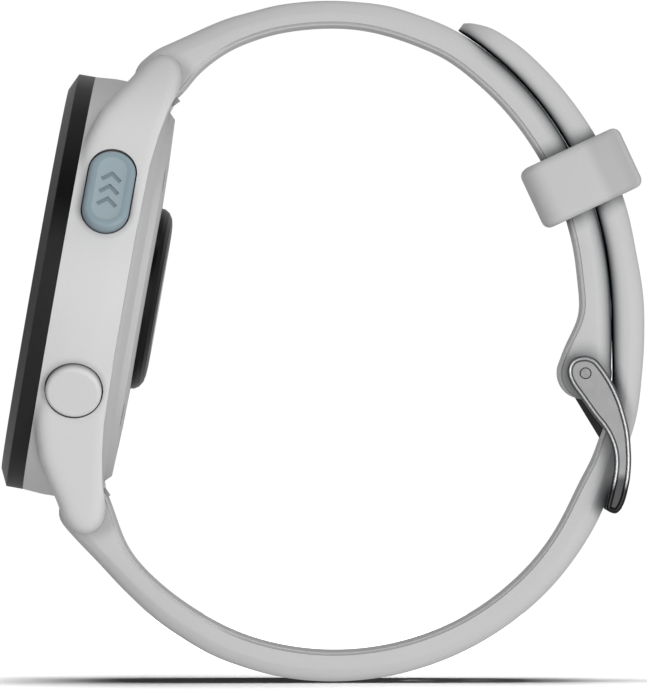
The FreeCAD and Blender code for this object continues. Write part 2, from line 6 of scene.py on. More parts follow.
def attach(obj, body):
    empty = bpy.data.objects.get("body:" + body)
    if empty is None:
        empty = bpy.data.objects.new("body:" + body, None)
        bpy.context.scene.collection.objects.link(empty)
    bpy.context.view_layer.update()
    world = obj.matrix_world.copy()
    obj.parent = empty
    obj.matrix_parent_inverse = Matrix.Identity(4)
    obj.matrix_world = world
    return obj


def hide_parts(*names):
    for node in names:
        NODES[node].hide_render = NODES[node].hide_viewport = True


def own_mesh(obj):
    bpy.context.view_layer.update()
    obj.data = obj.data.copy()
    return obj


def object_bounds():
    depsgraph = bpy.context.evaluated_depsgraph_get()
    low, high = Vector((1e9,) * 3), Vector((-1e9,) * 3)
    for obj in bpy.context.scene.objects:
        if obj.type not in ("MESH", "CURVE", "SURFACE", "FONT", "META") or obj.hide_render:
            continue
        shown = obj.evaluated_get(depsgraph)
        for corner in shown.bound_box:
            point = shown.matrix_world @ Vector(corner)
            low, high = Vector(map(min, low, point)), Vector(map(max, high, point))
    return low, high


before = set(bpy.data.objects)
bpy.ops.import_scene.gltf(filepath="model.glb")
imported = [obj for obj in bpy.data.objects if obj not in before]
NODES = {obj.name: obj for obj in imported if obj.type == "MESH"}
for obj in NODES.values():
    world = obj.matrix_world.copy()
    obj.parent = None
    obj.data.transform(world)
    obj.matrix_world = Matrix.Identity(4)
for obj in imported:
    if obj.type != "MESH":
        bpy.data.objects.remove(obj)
CAD_LO, CAD_HI = [list(v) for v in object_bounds()]
MM = 0.001
TILT = math.radians(10.05)
S, C = math.sin(TILT), math.cos(TILT)


# ------------------------------------------------------------------ frames and small maths
def L(x, y, z):
    """Case frame in mm (x three o'clock, y twelve o'clock, z out of the glass) to the row frame in metres."""
    return Vector((S * y - C * z - 30.30, -x, C * y + S * z + 6.81)) * MM


CASE = Matrix(((0, S, -C, -30.30 * MM), (-1, 0, 0, 0), (0, C, S, 6.81 * MM), (0, 0, 0, 1)))


def case_xz(u, d):
    return (-30.30 + S * u + C * d, 6.81 + C * u - S * d)


P1, P2, PIN = case_xz(22.3, 9.1), case_xz(-22.3, 9.1), (26.13, -2.89)
ARC_C = (-4.45, 4.17)


def on_arc(r, a):
    return ARC_C[0] + r * math.cos(math.radians(a)), ARC_C[1] + r * math.sin(math.radians(a))


def cspline(pts, n):
    """Natural cubic through points, n samples evenly spaced along its length."""
    p = np.array(pts, float)
    t = np.concatenate([[0], np.cumsum(np.linalg.norm(np.diff(p, axis=0), axis=1))])
    m = len(p)
    h = np.diff(t)
    A = np.eye(m)
    b = np.zeros((m, 2))
    for i in range(1, m - 1):
        A[i, i - 1], A[i, i], A[i, i + 1] = h[i - 1], 2 * (h[i - 1] + h[i]), h[i]
        b[i] = 6 * ((p[i + 1] - p[i]) / h[i] - (p[i] - p[i - 1]) / h[i - 1])
    k = np.linalg.solve(A, b)

    def at(u):
        i = np.clip(np.searchsorted(t, u, side="right") - 1, 0, m - 2)
        d, e, hh = t[i + 1] - u, u - t[i], h[i]
        return ((k[i] * d[:, None] ** 3 + k[i + 1] * e[:, None] ** 3) / (6 * hh[:, None])
                + (p[i] / hh[:, None] - k[i] * hh[:, None] / 6) * d[:, None]
                + (p[i + 1] / hh[:, None] - k[i + 1] * hh[:, None] / 6) * e[:, None])

    fine = at(np.linspace(0, t[-1], 3000))
    s = np.concatenate([[0], np.cumsum(np.linalg.norm(np.diff(fine, axis=0), axis=1))])
    w = np.linspace(0, s[-1], n)
    return np.stack([np.interp(w, s, fine[:, 0]), np.interp(w, s, fine[:, 1])], 1)


def arc_pts(c, r, a0, a1, n):
    a = np.radians(np.linspace(a0, a1, n))
    rr = np.linspace(*r, n) if isinstance(r, tuple) else np.full(n, r)
    return np.stack([c[0] + rr * np.cos(a), c[1] + rr * np.sin(a)], 1)


# ------------------------------------------------------------------ mesh helpers
def new_object(name, verts, faces, mats=()):
    me = bpy.data.meshes.new(name)
    me.from_pydata([tuple(v) for v in verts], [], [tuple(f) for f in faces])
    bm = bmesh.new()
    bm.from_mesh(me)
    bmesh.ops.remove_doubles(bm, verts=bm.verts, dist=1e-7)
    bmesh.ops.recalc_face_normals(bm, faces=bm.faces)
    bm.to_mesh(me)
    bm.free()
    o = bpy.data.objects.new(name, me)
    bpy.context.scene.collection.objects.link(o)
    for m in mats:
        me.materials.append(m)
    return o


def smooth(o, angle=35):
    me = o.data
    me.polygons.foreach_set("use_smooth", [True] * len(me.polygons))
    me.set_sharp_from_angle(angle=math.radians(angle))


def apply_mods(o):
    dg = bpy.context.evaluated_depsgraph_get()
    dg.update()
    me = bpy.data.meshes.new_from_object(o.evaluated_get(dg), depsgraph=dg)
    old = o.data
    o.modifiers.clear()
    o.data = me
    me.name = old.name
    bpy.data.meshes.remove(old)


def boolean(o, cutters, op="DIFFERENCE", solver="EXACT"):
    for c in cutters:
        m = o.modifiers.new("b", "BOOLEAN")
        m.operation, m.object, m.solver = op, c, solver
        n0 = len(o.data.polygons)
        apply_mods(o)
        if len(o.data.polygons) < 10:
            raise RuntimeError("boolean emptied " + o.name)
        bpy.data.objects.remove(c, do_unlink=True)
    return o


def cylinder(r, a, b, n=48, name="cut", r2=None):
    """Closed cylinder between two points given in metres, radius in metres."""
    a, b = Vector(a), Vector(b)
    q = (b - a).to_track_quat("Z", "Y").to_matrix()
    r2 = r if r2 is None else r2
    v, f = [], []
    for p, rr in ((a, r), (b, r2)):
        for i in range(n):
            t = 2 * math.pi * i / n
            v.append(p + q @ Vector((rr * math.cos(t), rr * math.sin(t), 0)))
    for i in range(n):
        j = (i + 1) % n
        f.append((i, j, n + j, n + i))
    f.append(tuple(range(n))[::-1])
    f.append(tuple(range(n, 2 * n)))
    return new_object(name, v, f)


def prism(outline, origin, ex, ey, ez, depth0, depth1, name="cut"):
    """Closed prism: outline points (a, b) in the plane of ex, ey, from depth0 to depth1 along ez."""
    v = [origin + ex * a + ey * b + ez * depth0 for a, b in outline] + [origin + ex * a + ey * b + ez * depth1 for a, b in outline]
    n = len(outline)
    f = [(i, (i + 1) % n, n + (i + 1) % n, n + i) for i in range(n)] + [tuple(range(n))[::-1], tuple(range(n, 2 * n))]
    return new_object(name, v, f)


def stadium(length, width, n=16):
    h, r = length / 2 - width / 2, width / 2
    out = []
    for s, a0 in ((1, -90), (-1, 90)):
        for i in range(n + 1):
            a = math.radians(a0 + 180 * i / n)
            out.append((s * h + r * math.cos(a), r * math.sin(a)))
    return out


def revolve(profile, n=160, name="rev", matrix=CASE):
    """Solid of revolution about the case axis from (radius, z) in mm."""
    v, f = [], []
    m = len(profile)
    for i in range(n):
        t = 2 * math.pi * i / n
        for r, z in profile:
            v.append(matrix @ (Vector((r * math.cos(t), r * math.sin(t), z)) * MM))
    for i in range(n):
        j = (i + 1) % n
        for k in range(m):
            l = (k + 1) % m
            if profile[k][0] < 1e-6 and profile[l][0] < 1e-6:
                continue
            q = [i * m + k, j * m + k, j * m + l, i * m + l]
            f.append(q)
    return new_object(name, v, f)


# ------------------------------------------------------------------ materials
def material(name, base, rough=0.5, metal=0.0, spec=0.5, grain=1800.0, bump=0.04, var=0.04, rvar=0.06, coat=0.0,
             sss=0.0, stretch=None, speck=None, emit=0.0, trans=0.0, wear=0.0, ior=1.45, ao=None, painted_shade=None):
    """Procedural finish: slow colour drift, fine grain in colour, roughness and bump, and lighter worn edges, with
    optional painted shade near close parts and towards one end.
    """
    m = bpy.data.materials.new(name)
    m.use_nodes = True
    nt = m.node_tree
    N, K = nt.nodes, nt.links
    bsdf = N["Principled BSDF"]
    tc = N.new("ShaderNodeTexCoord")
    mp = N.new("ShaderNodeMapping")
    K.new(tc.outputs["Object"], mp.inputs["Vector"])
    if stretch:
        mp.inputs["Scale"].default_value = stretch
    fine = N.new("ShaderNodeTexNoise")
    fine.inputs["Scale"].default_value = grain
    fine.inputs["Detail"].default_value = 4
    K.new(mp.outputs["Vector"], fine.inputs["Vector"])
    slow = N.new("ShaderNodeTexNoise")
    slow.inputs["Scale"].default_value = 90
    slow.inputs["Detail"].default_value = 3
    K.new(tc.outputs["Object"], slow.inputs["Vector"])
    add = N.new("ShaderNodeMath")
    add.operation = "MULTIPLY_ADD"
    add.inputs[1].default_value = 0.5
    K.new(fine.outputs["Fac"], add.inputs[0])
    half = N.new("ShaderNodeMath")
    half.operation = "MULTIPLY"
    half.inputs[1].default_value = 0.5
    K.new(slow.outputs["Fac"], half.inputs[0])
    K.new(half.outputs[0], add.inputs[2])
    ramp = N.new("ShaderNodeValToRGB")
    ramp.color_ramp.elements[0].position = 0.3
    ramp.color_ramp.elements[1].position = 0.7
    ramp.color_ramp.elements[0].color = [c * (1 - var) for c in base[:3]] + [1]
    ramp.color_ramp.elements[1].color = [min(1, c * (1 + var)) for c in base[:3]] + [1]
    K.new(add.outputs[0], ramp.inputs["Fac"])
    col = ramp.outputs["Color"]
    if speck:
        vo = N.new("ShaderNodeTexVoronoi")
        vo.inputs["Scale"].default_value = speck[0]
        K.new(tc.outputs["Object"], vo.inputs["Vector"])
        cr = N.new("ShaderNodeValToRGB")
        cr.color_ramp.elements[0].position, cr.color_ramp.elements[1].position = 0.0, speck[1]
        cr.color_ramp.elements[0].color, cr.color_ramp.elements[1].color = (1, 1, 1, 1), (0, 0, 0, 1)
        K.new(vo.outputs["Distance"], cr.inputs["Fac"])
        mx = N.new("ShaderNodeMix")
        mx.data_type = "RGBA"
        K.new(cr.outputs["Color"], mx.inputs["Factor"])
        K.new(col, mx.inputs[6])
        mx.inputs[7].default_value = list(speck[2]) + [1]
        col = mx.outputs[2]
    if wear:
        geo = N.new("ShaderNodeNewGeometry")
        pr = N.new("ShaderNodeValToRGB")
        pr.color_ramp.elements[0].position, pr.color_ramp.elements[1].position = 0.52, 0.60
        K.new(geo.outputs["Pointiness"], pr.inputs["Fac"])
        sc = N.new("ShaderNodeMath")
        sc.operation = "MULTIPLY"
        sc.inputs[1].default_value = wear
        K.new(pr.outputs["Color"], sc.inputs[0])
        mw = N.new("ShaderNodeMix")
        mw.data_type = "RGBA"
        K.new(sc.outputs[0], mw.inputs["Factor"])
        K.new(col, mw.inputs[6])
        mw.inputs[7].default_value = [min(1, c * 1.5 + 0.05) for c in base[:3]] + [1]
        col = mw.outputs[2]
    if ao:
        # painted shade: the base colour is darkened towards the given shade colour where two pieces sit close together
        oc = N.new("ShaderNodeAmbientOcclusion")
        oc.samples = 8
        oc.inputs["Distance"].default_value = ao[0]
        pw = N.new("ShaderNodeMath")
        pw.operation = "POWER"
        pw.inputs[1].default_value = ao[1]
        K.new(oc.outputs["AO"], pw.inputs[0])
        amount = pw.outputs[0]
        if len(ao) > 3:
            # no shade on the band ends beside the lugs
            sx = N.new("ShaderNodeSeparateXYZ")
            K.new(tc.outputs["Object"], sx.inputs[0])
            mk = N.new("ShaderNodeMapRange")
            mk.inputs["From Min"].default_value, mk.inputs["From Max"].default_value = ao[3], ao[4]
            K.new(sx.outputs[0], mk.inputs["Value"])
            mxm = N.new("ShaderNodeMath")
            mxm.operation = "MAXIMUM"
            K.new(amount, mxm.inputs[0])
            K.new(mk.outputs["Result"], mxm.inputs[1])
            amount = mxm.outputs[0]
        ma = N.new("ShaderNodeMix")
        ma.data_type = "RGBA"
        K.new(amount, ma.inputs["Factor"])
        ma.inputs[6].default_value = list(ao[2]) + [1]
        K.new(col, ma.inputs[7])
        col = ma.outputs[2]
    if painted_shade:
        # painted shade: darker towards one end: direction, start and end along it, colour
        dt = N.new("ShaderNodeVectorMath")
        dt.operation = "DOT_PRODUCT"
        dt.inputs[1].default_value = painted_shade[0]
        K.new(tc.outputs["Object"], dt.inputs[0])
        fr_ = N.new("ShaderNodeMapRange")
        fr_.interpolation_type = "SMOOTHSTEP"
        fr_.inputs["From Min"].default_value, fr_.inputs["From Max"].default_value = painted_shade[1], painted_shade[2]
        K.new(dt.outputs["Value"], fr_.inputs["Value"])
        mf = N.new("ShaderNodeMix")
        mf.data_type = "RGBA"
        K.new(fr_.outputs["Result"], mf.inputs["Factor"])
        K.new(col, mf.inputs[6])
        mf.inputs[7].default_value = list(painted_shade[3]) + [1]
        col = mf.outputs[2]
    K.new(col, bsdf.inputs["Base Color"])
    rr = N.new("ShaderNodeMapRange")
    rr.inputs["To Min"].default_value = max(0.02, rough - rvar)
    rr.inputs["To Max"].default_value = min(1, rough + rvar)
    K.new(fine.outputs["Fac"], rr.inputs["Value"])
    K.new(rr.outputs["Result"], bsdf.inputs["Roughness"])
    bp = N.new("ShaderNodeBump")
    bp.inputs["Strength"].default_value = bump
    bp.inputs["Distance"].default_value = 0.0001
    K.new(fine.outputs["Fac"], bp.inputs["Height"])
    K.new(bp.outputs["Normal"], bsdf.inputs["Normal"])
    bsdf.inputs["Metallic"].default_value = metal
    bsdf.inputs["Specular IOR Level"].default_value = spec
    bsdf.inputs["IOR"].default_value = ior
    bsdf.inputs["Coat Weight"].default_value = coat
    bsdf.inputs["Coat Roughness"].default_value = 0.08
    if sss:
        bsdf.inputs["Subsurface Weight"].default_value = sss
        bsdf.inputs["Subsurface Radius"].default_value = (1, 1, 1)
        bsdf.inputs["Subsurface Scale"].default_value = 0.0006
    if trans:
        bsdf.inputs["Transmission Weight"].default_value = trans
    if emit:
        K.new(col, bsdf.inputs["Emission Color"])
        bsdf.inputs["Emission Strength"].default_value = emit
    return m


M = {
    # case and cover: painted shade where pieces sit close; the case is also darker towards its top (painted shade)
    "case": material("case_polymer", (0.685, 0.685, 0.687), 0.46, grain=2600, bump=0.05, var=0.018, spec=0.45, speck=(5200, 0.18, (0.66, 0.665, 0.67)), ao=(0.0009, 1.3, (0.10, 0.10, 0.105)), painted_shade=((0, 0, 1), 0.0215, 0.0305, (0.545, 0.545, 0.547))),
    "cover": material("cover_polymer", (0.560, 0.560, 0.562), 0.5, grain=2400, bump=0.06, var=0.025, ao=(0.0009, 1.3, (0.10, 0.10, 0.105))),
    "bezel": material("bezel_polymer", (0.026, 0.026, 0.028), 0.42, grain=1600, bump=0.10, var=0.25, spec=0.55, stretch=(1, 1, 1), speck=(6500, 0.22, (0.06, 0.06, 0.062)), wear=0.25),
    # band and keeper: painted bluish shade where pieces sit close; the keeper is also darker on its outer part (painted
    # shade)
    "band": material("band_silicone", (0.570, 0.570, 0.570), 0.56, grain=3200, bump=0.05, var=0.02, spec=0.38, sss=0.12, speck=(4200, 0.12, (0.62, 0.62, 0.62)), ao=(0.0019, 1.6, (0.07, 0.085, 0.095), -0.004, -0.012)),
    "keeper": material("keeper_silicone", (0.560, 0.560, 0.560), 0.55, grain=3000, bump=0.05, var=0.02, spec=0.38, sss=0.12, speck=(4200, 0.12, (0.61, 0.61, 0.61)), ao=(0.0019, 1.6, (0.07, 0.085, 0.095), -0.004, -0.012), painted_shade=((0.9063, 0, 0.4226), 0.0317, 0.0331, (0.455, 0.455, 0.455))),
    # buckle steel in three copies: plain, lighter (painted highlight on the bead) and darker (painted shade and
    # reflection on edges and groove), each darker towards the lower end (painted shade)
    "steel": material("buckle_steel", (0.365, 0.365, 0.368), 0.40, metal=1.0, grain=900, bump=0.04, var=0.05, rvar=0.05, stretch=(2, 1, 1), painted_shade=((0, 0, -1), 0.0129, 0.0140, (0.10, 0.10, 0.103))),
    "steel_painted_highlight": material("buckle_steel_painted_highlight", (0.50, 0.50, 0.505), 0.42, metal=1.0, grain=900, bump=0.04, var=0.06, rvar=0.05, painted_shade=((0, 0, -1), 0.0136, 0.0150, (0.035, 0.035, 0.036))),
    "steel_painted_shade": material("buckle_steel_painted_shade", (0.12, 0.12, 0.125), 0.38, metal=1.0, grain=900, bump=0.04, var=0.10, rvar=0.05, painted_shade=((0, 0, -1), 0.0129, 0.0140, (0.02, 0.02, 0.022))),
    # lighter copy of the button blue for the cap's flat centre: painted highlight
    "blue_painted_highlight": material("button_blue_painted_highlight", (0.335, 0.415, 0.450), 0.46, grain=2600, bump=0.05, var=0.03, spec=0.5, speck=(5200, 0.15, (0.43, 0.51, 0.545))),
    "tongue": material("tongue_steel", (0.045, 0.045, 0.047), 0.34, metal=1.0, grain=900, bump=0.06, var=0.12, stretch=(0.4, 3, 0.4)),
    "bar": material("bar_steel", (0.52, 0.52, 0.53), 0.25, metal=1.0, grain=1200, bump=0.04, var=0.08, stretch=(3, 0.2, 3)),
    "spring": material("spring_steel", (0.45, 0.45, 0.46), 0.28, metal=1.0, grain=1500, bump=0.04, var=0.10),
    # button colours: painted shade where pieces sit close together
    "blue": material("button_blue", (0.268, 0.350, 0.392), 0.42, grain=2600, bump=0.05, var=0.03, spec=0.5, speck=(5200, 0.15, (0.36, 0.445, 0.49)), ao=(0.0009, 1.3, (0.10, 0.10, 0.105))),
    "mark": material("button_mark", (0.215, 0.270, 0.305), 0.5, grain=2600, bump=0.06, var=0.05),
    "button": material("button_polymer", (0.695, 0.695, 0.697), 0.42, grain=2600, bump=0.05, var=0.018, spec=0.45, speck=(5200, 0.15, (0.66, 0.665, 0.67)), ao=(0.0009, 1.3, (0.10, 0.10, 0.105))),
    "sensor": material("sensor_black", (0.004, 0.004, 0.0045), 0.34, grain=900, bump=0.02, var=0.2, spec=0.25, coat=0.04),
    "window": material("sensor_glass", (0.010, 0.010, 0.012), 0.06, grain=400, bump=0.005, var=0.15, spec=0.6, coat=0.8),
    "display": material("display_black", (0.004, 0.004, 0.005), 0.12, grain=4000, bump=0.01, var=0.3),
    "flex": material("flex_amber", (0.42, 0.20, 0.035), 0.35, grain=1500, bump=0.05, var=0.12),
    "inner": material("inner_polymer", (0.045, 0.045, 0.05), 0.6, grain=1500, bump=0.1, var=0.15),
    "gold": material("contact_gold", (0.83, 0.60, 0.22), 0.22, metal=1.0, grain=1600, bump=0.03, var=0.08),
    "pcb": material("circuit_green", (0.015, 0.12, 0.06), 0.4, grain=1200, bump=0.05, var=0.2, coat=0.3, speck=(2600, 0.10, (0.45, 0.36, 0.12))),
    "chip": material("chip_black", (0.025, 0.025, 0.03), 0.45, grain=2500, bump=0.06, var=0.2),
    "shield": material("shield_steel", (0.58, 0.58, 0.58), 0.33, metal=1.0, grain=900, bump=0.05, var=0.08, stretch=(0.3, 2, 2)),
    "battery": material("battery_wrap", (0.32, 0.33, 0.35), 0.38, metal=0.6, grain=500, bump=0.08, var=0.08),
    "foam": material("foam_black", (0.04, 0.04, 0.042), 0.95, grain=3500, bump=0.3, var=0.35),
    "rubber": material("gasket_rubber", (0.03, 0.03, 0.03), 0.6, grain=2200, bump=0.08, var=0.2),
    "tungsten": material("tungsten_steel", (0.30, 0.30, 0.31), 0.4, metal=1.0, grain=1400, bump=0.08, var=0.12),
    "screw": material("screw_steel", (0.34, 0.34, 0.35), 0.32, metal=1.0, grain=1500, bump=0.05, var=0.12, wear=0.4),
    "led": material("led_lens", (0.25, 0.55, 0.28), 0.2, grain=1500, bump=0.02, var=0.2, coat=0.5),
    "membrane": material("membrane_white", (0.8, 0.8, 0.8), 0.85, grain=5000, bump=0.3, var=0.1),
}


def lens_material():
    m = bpy.data.materials.new("lens_glass")
    m.use_nodes = True
    N, K = m.node_tree.nodes, m.node_tree.links
    b = N["Principled BSDF"]
    b.inputs["Base Color"].default_value = (0.8, 0.82, 0.84, 1)
    b.inputs["Transmission Weight"].default_value = 1.0
    b.inputs["IOR"].default_value = 1.33
    tc = N.new("ShaderNodeTexCoord")
    no = N.new("ShaderNodeTexNoise")
    no.inputs["Scale"].default_value = 120
    K.new(tc.outputs["Object"], no.inputs["Vector"])
    mr = N.new("ShaderNodeMapRange")
    mr.inputs["To Min"].default_value, mr.inputs["To Max"].default_value = 0.01, 0.05
    K.new(no.outputs["Fac"], mr.inputs["Value"])
    K.new(mr.outputs["Result"], b.inputs["Roughness"])
    return m


M["lens"] = lens_material()


def bezel_material():
    """Matt side wall with painted light and shade round the ring, and a glossier front chamfer."""
    m = M["bezel"]
    N, K = m.node_tree.nodes, m.node_tree.links
    b = N["Principled BSDF"]
    old = b.inputs["Base Color"].links[0].from_socket
    tc = N.new("ShaderNodeTexCoord")

    def along(v, lo, hi):
        d = N.new("ShaderNodeVectorMath")
        d.operation = "DOT_PRODUCT"
        d.inputs[1].default_value = v
        K.new(tc.outputs["Object"], d.inputs[0])
        r = N.new("ShaderNodeMapRange")
        r.inputs["From Min"].default_value, r.inputs["From Max"].default_value = lo, hi
        K.new(d.outputs["Value"], r.inputs["Value"])
        return r.outputs["Result"]

    c0 = -(C * 0.0303 + S * 0.00681)
    wall = along((C, 0, -S), c0 + 0.00074, c0 + 0.00088)
    u0 = -(S * 0.0303 - C * 0.00681)
    ring = along((S, 0, C), u0 - 0.0215, u0 + 0.0215)
    # painted light and shade: the wall colour is scaled from 0.5 down to 0.14 and up to 2.4 along the ring
    cr = N.new("ShaderNodeValToRGB")
    e = cr.color_ramp.elements
    e[0].position, e[0].color = 0.0, (0.50, 0.50, 0.50, 1)
    e[1].position, e[1].color = 1.0, (2.4, 2.4, 2.4, 1)
    for pos, val in ((0.60, 0.50), (0.70, 0.14), (0.90, 0.14), (0.965, 0.8)):
        q = e.new(pos)
        q.color = (val, val, val, 1)
    K.new(ring, cr.inputs["Fac"])
    mul = N.new("ShaderNodeMix")
    mul.data_type, mul.blend_type = "RGBA", "MULTIPLY"
    mul.inputs["Factor"].default_value = 1.0
    K.new(old, mul.inputs[6])
    K.new(cr.outputs["Color"], mul.inputs[7])
    mx = N.new("ShaderNodeMix")
    mx.data_type = "RGBA"
    K.new(wall, mx.inputs["Factor"])
    mx.inputs[6].default_value = (0.045, 0.045, 0.046, 1)
    K.new(mul.outputs[2], mx.inputs[7])
    K.new(mx.outputs[2], b.inputs["Base Color"])
    sp = N.new("ShaderNodeMapRange")
    sp.inputs["To Min"].default_value, sp.inputs["To Max"].default_value = 0.5, 0.13
    K.new(wall, sp.inputs["Value"])
    K.new(sp.outputs["Result"], b.inputs["Specular IOR Level"])


bezel_material()


def dial_material():
    """A plain dial with ticks, two hands and a progress arc, drawn from the distance and angle about the case axis."""
    m = M["display"]
    N, K = m.node_tree.nodes, m.node_tree.links
    b = N["Principled BSDF"]
    old = b.inputs["Base Color"].links[0].from_socket
    tc = N.new("ShaderNodeTexCoord")
    sep = N.new("ShaderNodeSeparateXYZ")
    K.new(tc.outputs["Object"], sep.inputs[0])

    def op(kind, *args):
        n = N.new("ShaderNodeMath")
        n.operation = kind
        for i, a in enumerate(args):
            if isinstance(a, (int, float)):
                n.inputs[i].default_value = a
            else:
                K.new(a, n.inputs[i])
        return n.outputs[0]

    X, Y, Z = sep.outputs
    x = op("MULTIPLY", Y, -1000.0)
    u = op("ADD", op("ADD", op("MULTIPLY", X, 1000.0 * S), op("MULTIPLY", Z, 1000.0 * C)), S * 30.30 - C * 6.81)
    zc = op("ADD", op("ADD", op("MULTIPLY", X, -1000.0 * C), op("MULTIPLY", Z, 1000.0 * S)), -C * 30.30 - S * 6.81)
    r = op("SQRT", op("ADD", op("MULTIPLY", x, x), op("MULTIPLY", u, u)))
    turn = op("DIVIDE", op("ARCTAN2", x, u), 2 * math.pi)
    front = op("GREATER_THAN", zc, -1.30)

    def between(v, lo, hi):
        return op("MULTIPLY", op("GREATER_THAN", v, lo), op("LESS_THAN", v, hi))

    def ticks(n, half, lo, hi):
        f = op("SUBTRACT", op("FRACT", op("ADD", op("MULTIPLY", turn, float(n)), 0.5 + 4 * n)), 0.5)
        off = op("MULTIPLY", op("MULTIPLY", op("ABSOLUTE", f), 2 * math.pi / n), r)
        return op("MULTIPLY", op("LESS_THAN", off, half), between(r, lo, hi))

    def hand(deg, half, lo, hi):
        a = math.radians(deg)
        al = op("ADD", op("MULTIPLY", x, math.sin(a)), op("MULTIPLY", u, math.cos(a)))
        ac = op("SUBTRACT", op("MULTIPLY", x, math.cos(a)), op("MULTIPLY", u, math.sin(a)))
        return op("MULTIPLY", op("LESS_THAN", op("ABSOLUTE", ac), half), between(al, lo, hi))

    white = op("MAXIMUM", op("MAXIMUM", ticks(12, 0.24, 13.4, 15.4), ticks(60, 0.09, 14.6, 15.4)), op("MAXIMUM", hand(-55, 0.42, 1.0, 8.2), hand(52, 0.32, 1.0, 12.0)))
    white = op("MAXIMUM", white, op("LESS_THAN", r, 0.9))
    arc = op("MULTIPLY", between(r, 15.8, 16.25), between(turn, -0.5, 0.22))
    white, arc = op("MULTIPLY", white, front), op("MULTIPLY", arc, front)
    a1, a2 = N.new("ShaderNodeMix"), N.new("ShaderNodeMix")
    a1.data_type = a2.data_type = "RGBA"
    K.new(white, a1.inputs["Factor"])
    K.new(old, a1.inputs[6])
    a1.inputs[7].default_value = (0.75, 0.76, 0.76, 1)
    K.new(arc, a2.inputs["Factor"])
    K.new(a1.outputs[2], a2.inputs[6])
    a2.inputs[7].default_value = (0.10, 0.42, 0.60, 1)
    K.new(a2.outputs[2], b.inputs["Base Color"])
    K.new(a2.outputs[2], b.inputs["Emission Color"])
    K.new(op("MULTIPLY", op("MAXIMUM", white, arc), 0.55), b.inputs["Emission Strength"])


dial_material()

FINISH = {"case_middle": "case", "bezel_ring": "bezel", "front_lens": "lens", "lens_adhesive": "rubber", "display_panel": "display",
          "display_flex": "flex", "inner_frame": "inner", "gps_antenna": "gold", "main_board": "pcb", "board_chips": "chip",
          "shield_can": "shield", "pressure_sensor": "shield", "battery": "battery", "battery_foam": "foam",
          "vibration_motor_can": "shield", "vibration_rotor": "tungsten", "buzzer_disc": "gold", "back_cover": "cover",
          "cover_gasket": "rubber", "cover_screws": "screw", "charge_contacts": "gold", "sensor_housing": "sensor",
          "sensor_window": "window", "sensor_board": "pcb", "sensor_leds": "led", "vent_membrane": "membrane",
          "button_seals": "rubber", "tact_switches": "chip", "buckle_tongue": "tongue", "buckle_frame": "steel", "buckle_bar": "bar",
          "keeper_loop": "keeper", "upper_spring_bar": "bar", "lower_spring_bar": "bar", "upper_release_pin": "bar",
          "lower_release_pin": "bar", "upper_bar_spring": "spring", "lower_bar_spring": "spring", "short_strap": "band",
          "long_strap": "band", "start_button": "blue"}
for n, o in NODES.items():
    key = FINISH.get(n) or ("spring" if n.endswith(("_clip", "_spring")) else "button")
    if o.material_slots:
        for s in o.material_slots:
            s.material = M[key]
    else:
        o.data.materials.append(M[key])
    o.data.polygons.foreach_set("use_smooth", [True] * len(o.data.polygons))
    o.data.set_sharp_from_angle(angle=math.radians(32))


def edge_bevel(node, width, angle=35, seg=3):
    m = NODES[node].modifiers.new("edge", "BEVEL")
    m.width, m.segments, m.limit_method, m.angle_limit = width * MM, seg, "ANGLE", math.radians(angle)
    m.harden_normals = True


# ------------------------------------------------------------------ band pieces
SHORT_OUT = [(P1[0] - 1.70, P1[1] + 1.95), (-17.9, 30.12), (-16.4, 30.86), (-13.16, 32.33), (-10.11, 33.55), (-8.0, 34.13),
             (-5.79, 34.70), (-3.0, 35.10), (0.0, 35.25), (3.0, 35.10), (6.0, 34.70), (9.0, 33.80), (12.0, 32.62)] + \
            [on_arc(r, a) for r, a in ((33.02, 52), (33.03, 47), (33.03, 42), (33.03, 36), (33.03, 30), (33.03, 23), (33.05, 16), (33.09, 10),
                                       (33.13, 5))] + [(28.80, 2.6), (28.84, 0.2), (28.80, -2.3)]
SHORT_IN = [(P1[0] + 1.30, P1[1] - 2.10), (-15.1, 26.1), (-13.85, 27.6), (-12.2, 29.1), (-10.11, 30.45), (-8.0, 31.35),
            (-5.79, 32.02), (-3.0, 32.5), (0.0, 32.68), (3.0, 32.5), (6.0, 31.86), (9.0, 30.83), (12.0, 29.42)] + \
           [on_arc(30.12, a) for a in (50, 45, 40, 34, 28, 22, 16, 10, 4)] + [(25.62, 3.0), (24.98, 1.3), (24.14, -0.5), (23.69, -1.74)]
LONG_OUT = [(P2[0] - 2.45, P2[1] + 0.30), (-27.75, -17.45), (-26.77, -19.06), (-25.26, -20.69), (-23.75, -22.25), (-21.80, -24.36),
            (-20.07, -26.09), (-17.91, -28.04), (-15.31, -29.88), (-12.28, -31.65), (-9.04, -32.93), (-5.15, -33.96),
            (0.4, -34.44), (5.7, -33.97), (10.8, -32.60), (15.63, -30.36), (20.0, -27.31), (23.2, -24.2), (25.6, -21.05),
            (27.0, -18.75), (28.0, -16.7), (28.85, -14.6), (29.65, -12.4), (30.45, -10.4), (31.15, -8.3), (31.6, -6.2),
            (31.9, -3.6), (32.13, -0.8), (32.2, 2.0), (32.12, 4.6)] + \
           [on_arc(r, a) for r, a in ((36.2, 9), (36.2, 14), (36.18, 19), (36.12, 24), (36.04, 29), (35.94, 34), (35.84, 39), (35.73, 44),
                                      (35.62, 48), (35.42, 51), (35.1, 54), (34.72, 55.7), (34.4, 56.9), (34.05, 57.8))]
